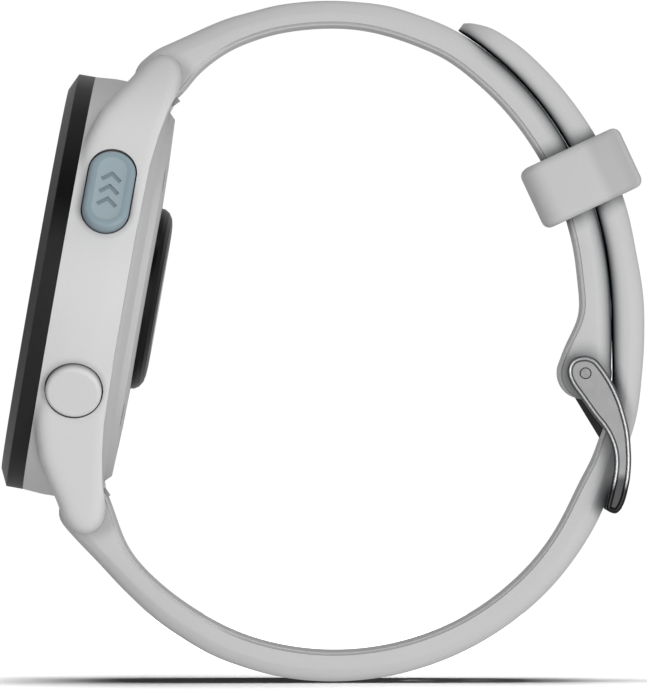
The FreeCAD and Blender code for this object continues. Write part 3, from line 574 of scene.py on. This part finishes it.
LONG_IN = [(P2[0] + 2.50, P2[1] + 0.78), (-22.28, -17.2), (-21.83, -18.5), (-21.33, -19.80), (-20.42, -21.45), (-18.78, -23.39), (-16.18, -25.67),
           (-13.16, -27.72), (-9.69, -29.50), (-5.15, -30.87), (0.47, -31.44), (5.24, -31.02), (9.87, -29.79),
           (14.2, -27.77), (18.1, -25.0), (21.2, -21.9), (23.3, -18.95), (24.7, -16.3), (25.85, -13.95), (26.95, -11.8), (27.75, -9.7),
           (28.47, -7.6), (28.93, -5.5), (29.12, -3.3), (29.10, -0.8), (29.05, 1.6), (28.98, 4.3)] + \
          [on_arc(r, a) for r, a in ((33.34, 5), (33.32, 10), (33.30, 16), (33.30, 22), (33.30, 28), (33.30, 34), (33.30, 40), (33.30, 46),
                                     (33.30, 52), (33.29, 55.5), (33.26, 57.9))]


def half_width(x):
    """The band tapers from the lugs to its even width."""
    return float(np.interp(x, [-14, 14], [9.95, 9.0]))


def strap_mesh(name, O, I, tip=0.0, b_out=1.5, b_in=0.75, crown=0.15, lap=None):
    """Band solid from matched outer and inner edge stations, with bevelled outer and rounded inner long edges."""
    n = len(O)
    mid = (O + I) / 2
    run = np.concatenate([[0], np.cumsum(np.linalg.norm(np.diff(mid, axis=0), axis=1))])
    verts, faces = [], []
    ks = 0
    for i in range(n):
        e = O[i] - I[i]
        T = max(np.linalg.norm(e), 1e-4)
        e = e / T
        w = half_width(mid[i][0])
        if tip:
            s = run[-1] - run[i]
            if s < tip:
                q = 1 - s / tip
                w = w - tip * 0.82 * (1 - math.sqrt(max(0.0, 1 - q * q)))
        k = lap(mid[i]) if lap else 0.0
        bo, bi, cr = min(b_out, T * 0.5), min(b_in + 0.50 * k, T * (0.42 - 0.05 * k)), min(crown, T * 0.06) * (1 - 0.45 * k)
        f = min(1.0, T / 2.2)
        # soft inner edge where the bands lie together, elsewhere a square edge with a fine parting groove
        wide = [(-cr * 0.5, w - bi * 1.9), (-cr * 0.1, w - bi * 1.15), (bi * 0.06, w - bi * 0.78), (bi * 0.18, w - bi * 0.50), (bi * 0.36, w - bi * 0.27),
                (bi * 0.58, w - bi * 0.11), (bi * 0.82, w - bi * 0.02), (bi * 1.0, w)]
        fine = [(-cr * 0.3, w - 0.80), (0.0, w - 0.42), (0.03, w - 0.22), (0.10 * f, w - 0.10), (0.20 * f, w - 0.05), (0.27 * f, w - 0.10), (0.36 * f, w - 0.10), (0.44 * f, w)]
        prof = [(-cr, 0), (-cr * 0.75, w * 0.45)] + [(a * k + c * (1 - k), b * k + d * (1 - k)) for (a, b), (c, d) in zip(wide, fine)]
        prof += [((prof[-1][0] + T - bo) / 2, w), (T - bo - 0.10 * f, w), (T - bo + 0.10 * f, w - 0.045 * f)]
        prof += [(T - bo * 0.5, w - bo * 0.26), (T - bo * 0.22, w - bo * 0.48), (T - bo * 0.08, w - bo * 0.70), (T, w - bo * 1.0), (T, w * 0.45), (T, 0)]
        ring = prof + [(t, -y) for t, y in prof[-2:0:-1]]
        for t, y in ring:
            p = I[i] + e * t
            verts.append((p[0] * MM, y * MM, p[1] * MM))
        ks = len(ring)
    for i in range(n - 1):
        for k in range(ks):
            l = (k + 1) % ks
            faces.append((i * ks + k, i * ks + l, (i + 1) * ks + l, (i + 1) * ks + k))
    faces.append(tuple(range(ks))[::-1])
    faces.append(tuple((n - 1) * ks + k for k in range(ks)))
    return new_object(name, verts, faces, [M["band"]])


def hole_cut(x, z, nx, nz, length=3.2, width=2.2, deep=10.0):
    nv = Vector((nx, 0, nz)).normalized()
    t = Vector((-nv.z, 0, nv.x))
    return prism([(a * MM, b * MM) for a, b in stadium(length, width)], Vector((x * MM, 0, z * MM)), t, Vector((0, 1, 0)), nv, -deep / 2 * MM, deep / 2 * MM)


def ycut(r, x, z, y0=-15, y1=15, n=48):
    return cylinder(r * MM, (x * MM, y0 * MM, z * MM), (x * MM, y1 * MM, z * MM), n)


def lever_slot(u, sign):
    """Window in the band end for the quick-release lever."""
    o = L(5.7, u, -9.1)
    ex = (L(1, 0, 0) - L(0, 0, 0)).normalized()
    kd = (L(0, -sign * 0.704, -0.710) - L(0, 0, 0)).normalized()
    return prism([(-2.1 * MM, -1.1 * MM), (2.1 * MM, -1.1 * MM), (2.1 * MM, 1.1 * MM), (-2.1 * MM, 1.1 * MM)], o, ex, kd.cross(ex), kd, 0.0, 6 * MM)


nA = 14
so = np.concatenate([arc_pts(P1, (2.62, 2.587), 216.5, 131.1, nA)[:-1], cspline(SHORT_OUT, 150)[:-1], arc_pts(PIN, (2.734, 2.70), 12.5, -93.9, 18)])
si = np.concatenate([arc_pts(P1, (2.62, 2.47), 216.5, 301.8, nA)[:-1], cspline(SHORT_IN, 150)[:-1], arc_pts(PIN, (2.70, 2.70), 154.9, 266.1, 18)])
short = strap_mesh("short_strap_band", so, si)
slot_box = prism([(-6 * MM, -1.45 * MM), (6 * MM, -1.45 * MM), (6 * MM, 1.45 * MM), (-6 * MM, 1.45 * MM)],
                 Vector((PIN[0] * MM, 0, (PIN[1] - 9.6) * MM)), Vector((1, 0, 0)), Vector((0, 1, 0)), Vector((0, 0, 1)), 0, 10.6 * MM)
boolean(short, [ycut(0.50, *PIN), ycut(2.9, *PIN, -1.45, 1.45), slot_box, ycut(0.95, *P1), lever_slot(22.3, 1)])
smooth(short, 36)
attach(short, "upper_band")
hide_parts("short_strap")

lo_ = np.concatenate([arc_pts(P2, (2.62, 2.468), 81.7, 173.0, nA)[:-1], cspline(LONG_OUT, 260)])
li = np.concatenate([arc_pts(P2, (2.62, 2.62), 81.7, 17.3, nA)[:-1], cspline(LONG_IN, 260)])


def on_top(p):
    """1 where the long band lies over the short one."""
    return float(np.clip((p[1] + 9.0) / 4.0, 0, 1)) if p[0] > 0 else 0.0


long_ = strap_mesh("long_strap_band", lo_, li, tip=5.0, b_in=0.85, lap=on_top)
cuts = [ycut(0.95, *P2), lever_slot(-22.3, -1)]
for a in (-74, -62, -50):
    x, z = 0.43 + 29.0 * math.cos(math.radians(a)), -3.96 + 29.0 * math.sin(math.radians(a))
    cuts.append(hole_cut(x, z, x - 0.43, z + 3.96, deep=8))
for a in (1.0, 12.5, 35.0, 48.0):
    x, z = on_arc(34.8, a)
    cuts.append(hole_cut(x, z, x - ARC_C[0], z - ARC_C[1], deep=5.2))
cuts.append(hole_cut(29.38, -10.72, 0.536, -0.844, length=3.3, width=2.6, deep=9.0))
boolean(long_, cuts)
smooth(long_, 36)
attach(long_, "lower_band")
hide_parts("long_strap")


def keeper_mesh():
    """Soft loop: a rounded wall section swept round a rounded rectangle."""
    r0, r1, r0i, r1i, wy, wyi, hl, off = 27.41, 38.38, 29.66, 36.66, 11.2, 9.45, 3.3, -1.03
    path, n = [], 0
    ro, ri = 2.3, 0.8

    def rrect(a0, a1, w, r, k=9):
        pts = []
        for cx, cy, s in ((a1 - r, w - r, 0), (a0 + r, w - r, 90), (a0 + r, -w + r, 180), (a1 - r, -w + r, 270)):
            for i in range(k):
                t = math.radians(s + 90 * i / (k - 1))
                pts.append((cx + r * math.cos(t), cy + r * math.sin(t)))

        out = []
        for i, p in enumerate(pts):
            q = pts[(i + 1) % len(pts)]
            out.append(p)
            if math.hypot(q[0] - p[0], q[1] - p[1]) > 2.0:
                for j in (1, 2, 3, 4, 5):
                    out.append((p[0] + (q[0] - p[0]) * j / 6, p[1] + (q[1] - p[1]) * j / 6))
        return out

    outer, inner = rrect(r0, r1, wy, ro), rrect(r0i, r1i, wyi, ri)
    ca, sa = math.cos(math.radians(25.0)), math.sin(math.radians(25.0))
    verts, faces, ks = [], [], 0
    for (oa, ob), (ia, ib) in zip(outer, inner):
        b = 0.85
        T = math.hypot(oa - ia, ob - ib)
        sec = []
        for a in (0, 18, 36, 54, 72, 90):
            a = math.radians(a)
            sec.append((1 - (b / T) * (1 - math.cos(a)), hl - b + b * math.sin(a)))
        bi = 0.40
        for a in (90, 60, 30, 0):
            a = math.radians(a)
            sec.append(((bi / T) * (1 - math.cos(a)), hl - bi + bi * math.sin(a)))
        full = sec + [(f, -h) for f, h in sec[::-1]]
        for f, h in full:
            rr, yy = ia + (oa - ia) * f, ib + (ob - ib) * f
            yy -= math.copysign(min(abs(yy) - 9.6, max(0.0, 0.20 * (rr - 34.6))), yy) if abs(yy) > 9.6 and rr > 34.6 else 0.0
            x = ARC_C[0] + rr * ca - (h + off) * sa
            z = ARC_C[1] + rr * sa + (h + off) * ca
            verts.append((x * MM, yy * MM, z * MM))
        ks = len(full)
    n = len(outer)
    for i in range(n):
        j = (i + 1) % n
        for k in range(ks):
            l = (k + 1) % ks
            faces.append((i * ks + k, i * ks + l, j * ks + l, j * ks + k))
    return new_object("keeper_band_loop", verts, faces, [M["keeper"]])


keeper = keeper_mesh()
smooth(keeper, 50)
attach(keeper, "keeper")
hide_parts("keeper_loop")

# ------------------------------------------------------------------ case
LUG_SIDE = [(6.0, -3.2), (13.5, -2.55), (15.3, -2.9), (18.0, -3.75), (20.2, -5.05), (21.9, -6.25), (23.6, -7.2),
            (24.6, -8.3), (24.9, -9.2), (24.7, -10.2), (24.0, -11.0), (23.0, -11.4), (20.5, -11.3),
            (19.3, -11.1), (16.5, -10.7), (13.4, -10.4), (6.0, -10.4)]
COVER = [(0, -9.58), (21.34, -9.58), (20.62, -9.98), (19.32, -10.58), (18.62, -11.28), (14.0, -11.48), (9.4, -11.58), (0, -11.58)]
REAR = [(9, -9.62), (13.4, -9.72), (16.5, -10.05), (19.3, -10.55), (20.5, -10.95), (21.6, -11.3), (22.6, -11.6), (22.6, -13.5)]


def grow(poly, d):
    """Inset (positive d) of a closed outline, moving every point along its own normal."""
    p = np.array(poly, float)
    a = 0.5 * np.sum(p[:, 0] * np.roll(p[:, 1], -1) - np.roll(p[:, 0], -1) * p[:, 1])
    t = np.roll(p, -1, axis=0) - np.roll(p, 1, axis=0)
    t /= np.maximum(np.linalg.norm(t, axis=1), 1e-9)[:, None]
    n = np.stack([-t[:, 1], t[:, 0]], 1) * (1 if a > 0 else -1)
    return p + n * d


def soften(poly, rounds=2):
    """Corner cutting of a closed outline."""
    p = np.array(poly, float)
    for _ in range(rounds):
        q = np.roll(p, -1, axis=0)
        p = np.stack([p * 0.75 + q * 0.25, p * 0.25 + q * 0.75], 1).reshape(-1, 2)
    return p


LUG_LAYERS = [(None, 0.0), (1.5, 0.0), (0.85, 0.10), (0.38, 0.38), (0.10, 0.80), (0.0, 1.30)]


def case_mesh():
    body = revolve([(18.0, -1.2), (21.45, -1.2), (21.5, -2.6), (21.67, -4.6), (21.6, -7.2), (21.3, -9.6), (21.15, -11.2), (18.0, -11.2)], 144, "case_shell")
    parts = [body]
    for sx in (1, -1):
        for sy in (1, -1):
            v, f = [], []
            n = len(LUG_SIDE)
            for back, inset in LUG_LAYERS:
                for u, z in grow(LUG_SIDE, inset):
                    x = 9.6 if back is None else float(np.interp(u, [5.0, 7.35, 25.0], [20.4, 20.2, 13.8])) - back
                    v.append(CASE @ (Vector((sx * x, sy * u, z)) * MM))
            f = [(k * n + i, k * n + (i + 1) % n, (k + 1) * n + (i + 1) % n, (k + 1) * n + i) for k in range(len(LUG_LAYERS) - 1) for i in range(n)]
            f += [tuple(range(n))[::-1], tuple(range((len(LUG_LAYERS) - 1) * n, len(LUG_LAYERS) * n))]
            parts.append(new_object("lug", v, f))
    for p in parts[1:]:
        bm = bmesh.new()
        bm.from_mesh(body.data)
        bm.from_mesh(p.data)
        bm.to_mesh(body.data)
        bm.free()
        bpy.data.objects.remove(p, do_unlink=True)
    m = body.modifiers.new("r", "REMESH")
    m.mode, m.voxel_size = "VOXEL", 0.00026
    m2 = body.modifiers.new("s", "SMOOTH")
    m2.factor, m2.iterations = 0.5, 22
    apply_mods(body)
    R3 = CASE.to_3x3()
    rear = [(u * MM, z * MM) for u, z in [(-u, z) for u, z in REAR[::-1]] + REAR]
    cutters = [revolve([(0, -2.52), (27, -2.52), (27, 1.5), (0, 1.5)], 96), revolve(COVER, 192),
               prism(rear, CASE.translation.copy(), R3 @ Vector((0, 1, 0)), R3 @ Vector((0, 0, 1)), R3 @ Vector((1, 0, 0)), -27 * MM, 27 * MM)]
    boolean(body, cutters)
    cutters = []
    for sy in (1, -1):
        cutters.append(cylinder(2.9 * MM, L(-10.1, sy * 22.3, -9.1), L(10.1, sy * 22.3, -9.1), 64))
        cutters.append(cylinder(0.45 * MM, L(-11.5, sy * 22.3, -9.1), L(11.5, sy * 22.3, -9.1), 24))
        # inner faces of the lugs
        cutters.append(prism([(22.0 * MM, -1.5 * MM), (26.5 * MM, -1.5 * MM), (26.5 * MM, -13 * MM), (22.0 * MM, -13 * MM)], CASE.translation.copy(),
                             (CASE.to_3x3() @ Vector((0, sy, 0))), (CASE.to_3x3() @ Vector((0, 0, 1))), (CASE.to_3x3() @ Vector((1, 0, 0))), -10.1 * MM, 10.1 * MM))
    cutters.append(revolve([(0, -1), (18.4, -1), (18.4, -14), (0, -14)], 160))
    boolean(body, cutters)
    for name, deg, length, width in BUTTONS:
        c, s = math.cos(math.radians(deg)), math.sin(math.radians(deg))
        R3 = CASE.to_3x3()
        n_, t_, z_ = R3 @ Vector((c, s, 0)), R3 @ Vector((-s, c, 0)), R3 @ Vector((0, 0, 1))
        o_ = L(0, 0, -6.10)
        pocket = prism([(a * MM, b * MM) for a, b in stadium(length + 0.26, width + 0.26, 24)], o_, t_, z_, n_, 20.1 * MM, 24.5 * MM)
        bore = cylinder(0.85 * MM, o_ + n_ * 17.5 * MM, o_ + n_ * 20.5 * MM, 24)
        well = cylinder(1.6 * MM, o_ + n_ * 19.3 * MM, o_ + n_ * 20.3 * MM, 32)
        boolean(body, [pocket, bore, well])
    boolean(body, [cylinder(0.4 * MM, L(0, 17, -4.4), L(0, 23, -4.4), 20)])
    body.data.materials.clear()
    body.data.materials.append(M["case"])
    smooth(body, 38)
    return body


BUTTONS = [("start", 27.6, 9.0, 4.8), ("back", -29.0, 5.75, 5.75), ("light", 150.5, 5.2, 5.2), ("up", 180.0, 5.2, 5.2), ("down", 209.5, 5.2, 5.2)]
case = case_mesh()
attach(case, "case")
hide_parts("case_middle")

# ------------------------------------------------------------------ buckle frame: two beaded arms and the cross bar
ARM = [(26.12, -1.07), (26.78, -1.23), (27.3, -1.53), (27.81, -2.15), (28.42, -3.02), (28.93, -3.88), (29.44, -4.91),
       (29.85, -5.93), (30.16, -6.95), (30.46, -8.08), (30.67, -9.2), (30.77, -10.53), (30.82, -11.76),
       (30.77, -12.78), (30.67, -13.8), (30.46, -14.83), (30.21, -15.85), (29.9, -16.56), (29.6, -17.02),
       (29.19, -17.28), (28.73, -17.16), (28.16, -16.85), (28.27, -16.15), (28.47, -15.44), (28.66, -14.62),
       (28.86, -13.8), (29.0, -12.88), (29.06, -11.96), (28.98, -10.94), (28.73, -10.02), (28.32, -9.1),
       (27.81, -8.28), (27.19, -7.57), (26.58, -6.75), (25.97, -5.88), (25.35, -5.01), (24.74, -4.19),
       (24.38, -3.48), (24.23, -2.86), (24.28, -2.25), (24.59, -1.63), (25.15, -1.23)]
BARP = [(30.40, -15.10), (30.21, -15.85), (29.90, -16.56), (29.59, -17.02), (29.19, -17.28), (28.75, -17.14), (28.62, -16.50),
        (28.88, -15.70), (29.40, -15.10), (30.0, -14.90)]


def arm_inset(c, line):
    """How far a point lies inside the arm outline, in mm."""
    p = np.array([c.x, c.z]) / MM
    a, b = line, np.roll(line, -1, axis=0)
    ab = b - a
    t = np.clip(np.sum((p - a) * ab, axis=1) / np.maximum(np.sum(ab * ab, axis=1), 1e-12), 0, 1)
    return float(np.min(np.linalg.norm(a + ab * t[:, None] - p, axis=1)))


def buckle_mesh():
    """Arms lofted from the side outline, with a raised bead and a groove round the outer face."""
    line = soften(ARM, 2)
    layers = [(0.22, 9.45), (0.06, 9.53), (0.0, 9.70), (0.0, 10.80), (0.03, 10.96), (0.09, 11.08), (0.15, 11.16), (0.22, 11.22), (0.30, 11.245), (0.38, 11.22),
              (0.43, 11.16), (0.48, 11.11), (0.53, 11.11), (0.57, 11.13)]
    n, body = len(line), None
    for sy in (1, -1):
        v = [(x * MM, sy * y * MM, z * MM) for d, y in layers for x, z in grow(line, d)]
        f = [(k * n + i, k * n + (i + 1) % n, (k + 1) * n + (i + 1) % n, (k + 1) * n + i) for k in range(len(layers) - 1) for i in range(n)]
        f += [tuple(range(n))[::-1], tuple(range((len(layers) - 1) * n, len(layers) * n))]
        arm = new_object("buckle_arm", v, f, [M["steel"], M["steel_painted_highlight"], M["steel_painted_shade"]])
        # the lighter steel on the bead is a painted highlight; the darker steel on the outer edge walls and the groove
        # is painted shade and reflection
        for p in arm.data.polygons:
            if len(p.vertices) > 8:
                continue
            q = abs(p.center.y) / MM
            ins = arm_inset(p.center, line)
            if ins < 0.13:
                p.material_index = 2 if q > 9.9 else 0
            elif q > 10.9:
                p.material_index = 1 if ins < 0.42 else 2
        body = arm if body is None else body
        if arm is not body:
            boolean(body, [arm], "UNION")
    bar = prism([(x * MM, z * MM) for x, z in soften(BARP, 2)], Vector((0, 0, 0)), Vector((1, 0, 0)), Vector((0, 0, 1)), Vector((0, 1, 0)),
                -9.8 * MM, 9.8 * MM)
    bar.data.materials.append(M["steel"])
    boolean(body, [bar], "UNION")
    notch = prism([(29.22 * MM, -18.5 * MM), (32.2 * MM, -18.5 * MM), (32.2 * MM, -12.5 * MM), (29.22 * MM, -12.5 * MM)], Vector((0, 0, 0)),
                  Vector((1, 0, 0)), Vector((0, 0, 1)), Vector((0, 1, 0)), -1.25 * MM, 1.25 * MM)
    boolean(body, [notch, ycut(0.60, *PIN)])
    return body


buckle = buckle_mesh()
smooth(buckle, 38)
for poly in buckle.data.polygons:
    if abs(poly.normal.y) > 0.9995 and abs(poly.center.y) > 0.009:
        poly.use_smooth = False
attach(buckle, "buckle")
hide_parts("buckle_frame")


# ------------------------------------------------------------------ start button: a shallow dish with a rounded rim and three chevrons
def start_mesh():
    deg, length, width = BUTTONS[0][1:]
    c, s = math.cos(math.radians(deg)), math.sin(math.radians(deg))
    R3 = CASE.to_3x3()
    n_, t_, z_ = R3 @ Vector((c, s, 0)), R3 @ Vector((-s, c, 0)), R3 @ Vector((0, 0, 1))
    o_ = L(0, 0, -6.10)
    rings = [(0.0, 20.85), (0.0, 22.02), (0.07, 22.20), (0.20, 22.34), (0.40, 22.43), (0.65, 22.45), (0.90, 22.41), (1.15, 22.35), (1.45, 22.32)]
    v, f = [], []
    for inset, h in rings:
        ring = stadium(length - 2 * inset, width - 2 * inset, 28)
        n = len(ring)
        v += [o_ + t_ * (a * MM) + z_ * (b * MM) + n_ * (h * MM) for a, b in ring]
    f = [(k * n + i, k * n + (i + 1) % n, (k + 1) * n + (i + 1) % n, (k + 1) * n + i) for k in range(len(rings) - 1) for i in range(n)]
    f += [tuple(range(n))[::-1], tuple(range((len(rings) - 1) * n, len(rings) * n))]
    body = new_object("start_button_cap", v, f, [M["blue"], M["blue_painted_highlight"]])
    for p in body.data.polygons:
        a, b = ((p.center - o_).dot(t_)) / MM, ((p.center - o_).dot(z_)) / MM
        h = ((p.center - o_).dot(n_)) / MM
        edge = width / 2 - math.hypot(max(0.0, abs(a) - (length - width) / 2), b)
        # the cap's flat centre takes the lighter blue: a painted highlight
        if h > 22.2 and edge > 0.95:
            p.material_index = 1
    stem = cylinder(0.8 * MM, o_ + n_ * 17.7 * MM, o_ + n_ * 21.2 * MM, 32)
    stem.data.materials.append(M["blue"])
    boolean(body, [stem], "UNION")
    cuts = []
    for k in (-1, 0, 1):
        y0 = k * 1.45 - 0.1
        for sg in (1, -1):
            # one limb of a chevron, in the plane of the face
            w, l, a = 0.21, 1.25, math.radians(40)
            dx, dz = -math.sin(a), sg * math.cos(a)
            px, pz = -dz, dx
            quad = [(y0 + 0.42 - dx * 0.12 + px * w, -dz * 0.12 + pz * w), (y0 + 0.42 - dx * 0.12 - px * w, -dz * 0.12 - pz * w),
                    (y0 + 0.42 + dx * l - px * w, dz * l - pz * w), (y0 + 0.42 + dx * l + px * w, dz * l + pz * w)]
            q = prism([(x * MM, z * MM) for x, z in quad], o_, t_, z_, n_, 22.20 * MM, 23.0 * MM)
            q.data.materials.append(M["mark"])
            cuts.append(q)
    for q in cuts:
        m = body.modifiers.new("b", "BOOLEAN")
        m.operation, m.object, m.solver, m.material_mode = "DIFFERENCE", q, "EXACT", "TRANSFER"
        apply_mods(body)
        bpy.data.objects.remove(q, do_unlink=True)
    return body


start = start_mesh()
smooth(start, 40)
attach(start, "start_button_body")
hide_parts("start_button")

edge_bevel("buckle_tongue", 0.12)
edge_bevel("bezel_ring", 0.07, seg=2)
edge_bevel("upper_release_pin", 0.22)
edge_bevel("lower_release_pin", 0.22)

# ------------------------------------------------------------------ springs: each CAD coil copied onto the body it sits in
SPRINGS = [("start_button_spring", "start_button_press", "case", (-0.080849, 0.886204, -0.456187), (-0.022733, -0.017104, 0.01455), 0.0006),
           ("back_button_spring", "back_button_press", "case", (0.084603, 0.87462, 0.477371), (-0.025926, -0.01688, -0.003468), 0.0006),
           ("light_button_spring", "light_button_press", "case", (-0.085932, -0.870356, -0.484868), (-0.022635, 0.016798, 0.015103), 0.0006),
           ("up_button_spring", "up_button_press", "case", (0, -1, 0), (-0.024294, 0.0193, 0.005746), 0.0006),
           ("down_button_spring", "down_button_press", "case", (0.085932, -0.870356, 0.484868), (-0.025952, 0.016798, -0.003612), 0.0006),
           ("upper_bar_spring", "upper_release_slide", "upper_band", (0, 1, 0), (-0.017448, 0.0092, 0.02718), 0.0012),
           ("lower_bar_spring", "lower_release_slide", "lower_band", (0, 1, 0), (-0.025231, 0.0092, -0.016736), 0.0012)]
for node, joint, body, axis, fixed, travel in SPRINGS:
    cad = NODES[node]
    coil = bpy.data.objects.new(node + "_coil", cad.data.copy())
    coil.matrix_world = cad.matrix_world.copy()
    scene_col = bpy.context.scene.collection
    scene_col.objects.link(coil)
    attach(coil, body)
    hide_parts(node)
    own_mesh(coil)

# ------------------------------------------------------------------ camera, light, floor
scene = bpy.context.scene
cam_d = bpy.data.cameras.new("camera")
cam = bpy.data.objects.new("camera", cam_d)
scene.collection.objects.link(cam)
D = 2.2
cam.location = (-0.00067, -D, -0.00005)
cam.rotation_euler = (math.radians(90), 0, 0)
cam_d.sensor_width = 36
cam_d.lens = 36 * D / 0.07102
cam_d.clip_start, cam_d.clip_end = 0.05, 20
scene.camera = cam
scene.view_settings.view_transform = "Standard"
scene.view_settings.look = "None"

world = bpy.data.worlds.new("studio")
scene.world = world
world.use_nodes = True
wn, wl = world.node_tree.nodes, world.node_tree.links
bg = wn["Background"]
bg.inputs["Color"].default_value = (1, 1, 1, 1)
bg.inputs["Strength"].default_value = 0.52
bg2 = wn.new("ShaderNodeBackground")
bg2.inputs["Color"].default_value = (1, 1, 1, 1)
bg2.inputs["Strength"].default_value = 1.02
lp = wn.new("ShaderNodeLightPath")
mixw = wn.new("ShaderNodeMixShader")
wl.new(lp.outputs["Is Camera Ray"], mixw.inputs["Fac"])
wl.new(bg.outputs[0], mixw.inputs[1])
wl.new(bg2.outputs[0], mixw.inputs[2])
wl.new(mixw.outputs[0], wn["World Output"].inputs["Surface"])


def aim(o, loc, target):
    o.location = loc
    o.rotation_euler = (Vector(target) - Vector(loc)).to_track_quat("-Z", "Y").to_euler()


def area(name, loc, target, size, power, size_y=None):
    d = bpy.data.lights.new(name, "AREA")
    d.energy, d.size = power, size
    if size_y:
        d.shape, d.size_y = "RECTANGLE", size_y
    o = bpy.data.objects.new(name, d)
    scene.collection.objects.link(o)
    aim(o, loc, target)
    return o


area("front_left", (-0.36, -0.62, 0.10), (0, 0, 0), 0.34, 3.7)
area("front_right", (0.44, -0.60, -0.04), (0, 0, 0), 0.34, 2.2)
area("top_soft", (0.05, 0.0, 0.55), (0, 0, -0.03), 0.40, 0.4)


def card(name, loc, target, w, h, shade):
    """Studio card: seen only by reflections and bounced light."""
    o = new_object(name, [(-w / 2, -h / 2, 0), (w / 2, -h / 2, 0), (w / 2, h / 2, 0), (-w / 2, h / 2, 0)], [(0, 1, 2, 3)])
    aim(o, loc, target)
    m = bpy.data.materials.new(name + "_cloth")
    m.use_nodes = True
    n, k = m.node_tree.nodes, m.node_tree.links
    t, x = n.new("ShaderNodeTexCoord"), n.new("ShaderNodeTexNoise")
    r = n.new("ShaderNodeValToRGB")
    x.inputs["Scale"].default_value = 20
    r.color_ramp.elements[0].color = [shade * 0.9] * 3 + [1]
    r.color_ramp.elements[1].color = [shade * 1.1] * 3 + [1]
    k.new(t.outputs["Object"], x.inputs["Vector"])
    k.new(x.outputs["Fac"], r.inputs["Fac"])
    k.new(r.outputs["Color"], n["Principled BSDF"].inputs["Base Color"])
    n["Principled BSDF"].inputs["Roughness"].default_value = 0.95
    o.data.materials.append(m)
    o.visible_camera = False
    return o


card("black_card_left", (-0.40, -0.10, 0.02), (0, 0, 0), 0.9, 0.6, 0.01)
card("black_card_top", (0.0, -0.28, 0.36), (0, 0, 0), 0.6, 0.30, 0.01)

floor = new_object("floor", [(-0.3, -0.10, 0), (0.3, -0.10, 0), (0.3, 0.25, 0), (-0.3, 0.25, 0)], [(0, 1, 2, 3)])
floor.location = (0, 0, CAD_LO[2] - 0.00002)
floor.rotation_euler = (math.radians(0.85), 0, 0)
fm = bpy.data.materials.new("floor_pale")
fm.use_nodes = True
fn, fl = fm.node_tree.nodes, fm.node_tree.links
fb = fn["Principled BSDF"]
fb.inputs["Roughness"].default_value = 0.95
fb.inputs["Specular IOR Level"].default_value = 0.0
ftc = fn.new("ShaderNodeTexCoord")
fno = fn.new("ShaderNodeTexNoise")
fno.inputs["Scale"].default_value = 30
fl.new(ftc.outputs["Object"], fno.inputs["Vector"])
fr = fn.new("ShaderNodeValToRGB")
fr.color_ramp.elements[0].color, fr.color_ramp.elements[1].color = (0.095, 0.095, 0.095, 1), (0.105, 0.105, 0.105, 1)
fl.new(fno.outputs["Fac"], fr.inputs["Fac"])
fl.new(fr.outputs["Color"], fb.inputs["Base Color"])
floor.data.materials.append(fm)
floor.visible_diffuse = False
floor.visible_glossy = False
floor.visible_shadow = False
floor_only = bpy.data.collections.new("floor_light")
floor_only.objects.link(floor)
for name, loc in (("floor_sun", (0.0, -0.02, 1.0)),):
    d = bpy.data.lights.new(name, "SUN")
    d.energy, d.angle = 52.0, math.radians(62)
    o = bpy.data.objects.new(name, d)
    scene.collection.objects.link(o)
    aim(o, loc, (0, 0, 0))
    o.light_linking.receiver_collection = floor_only
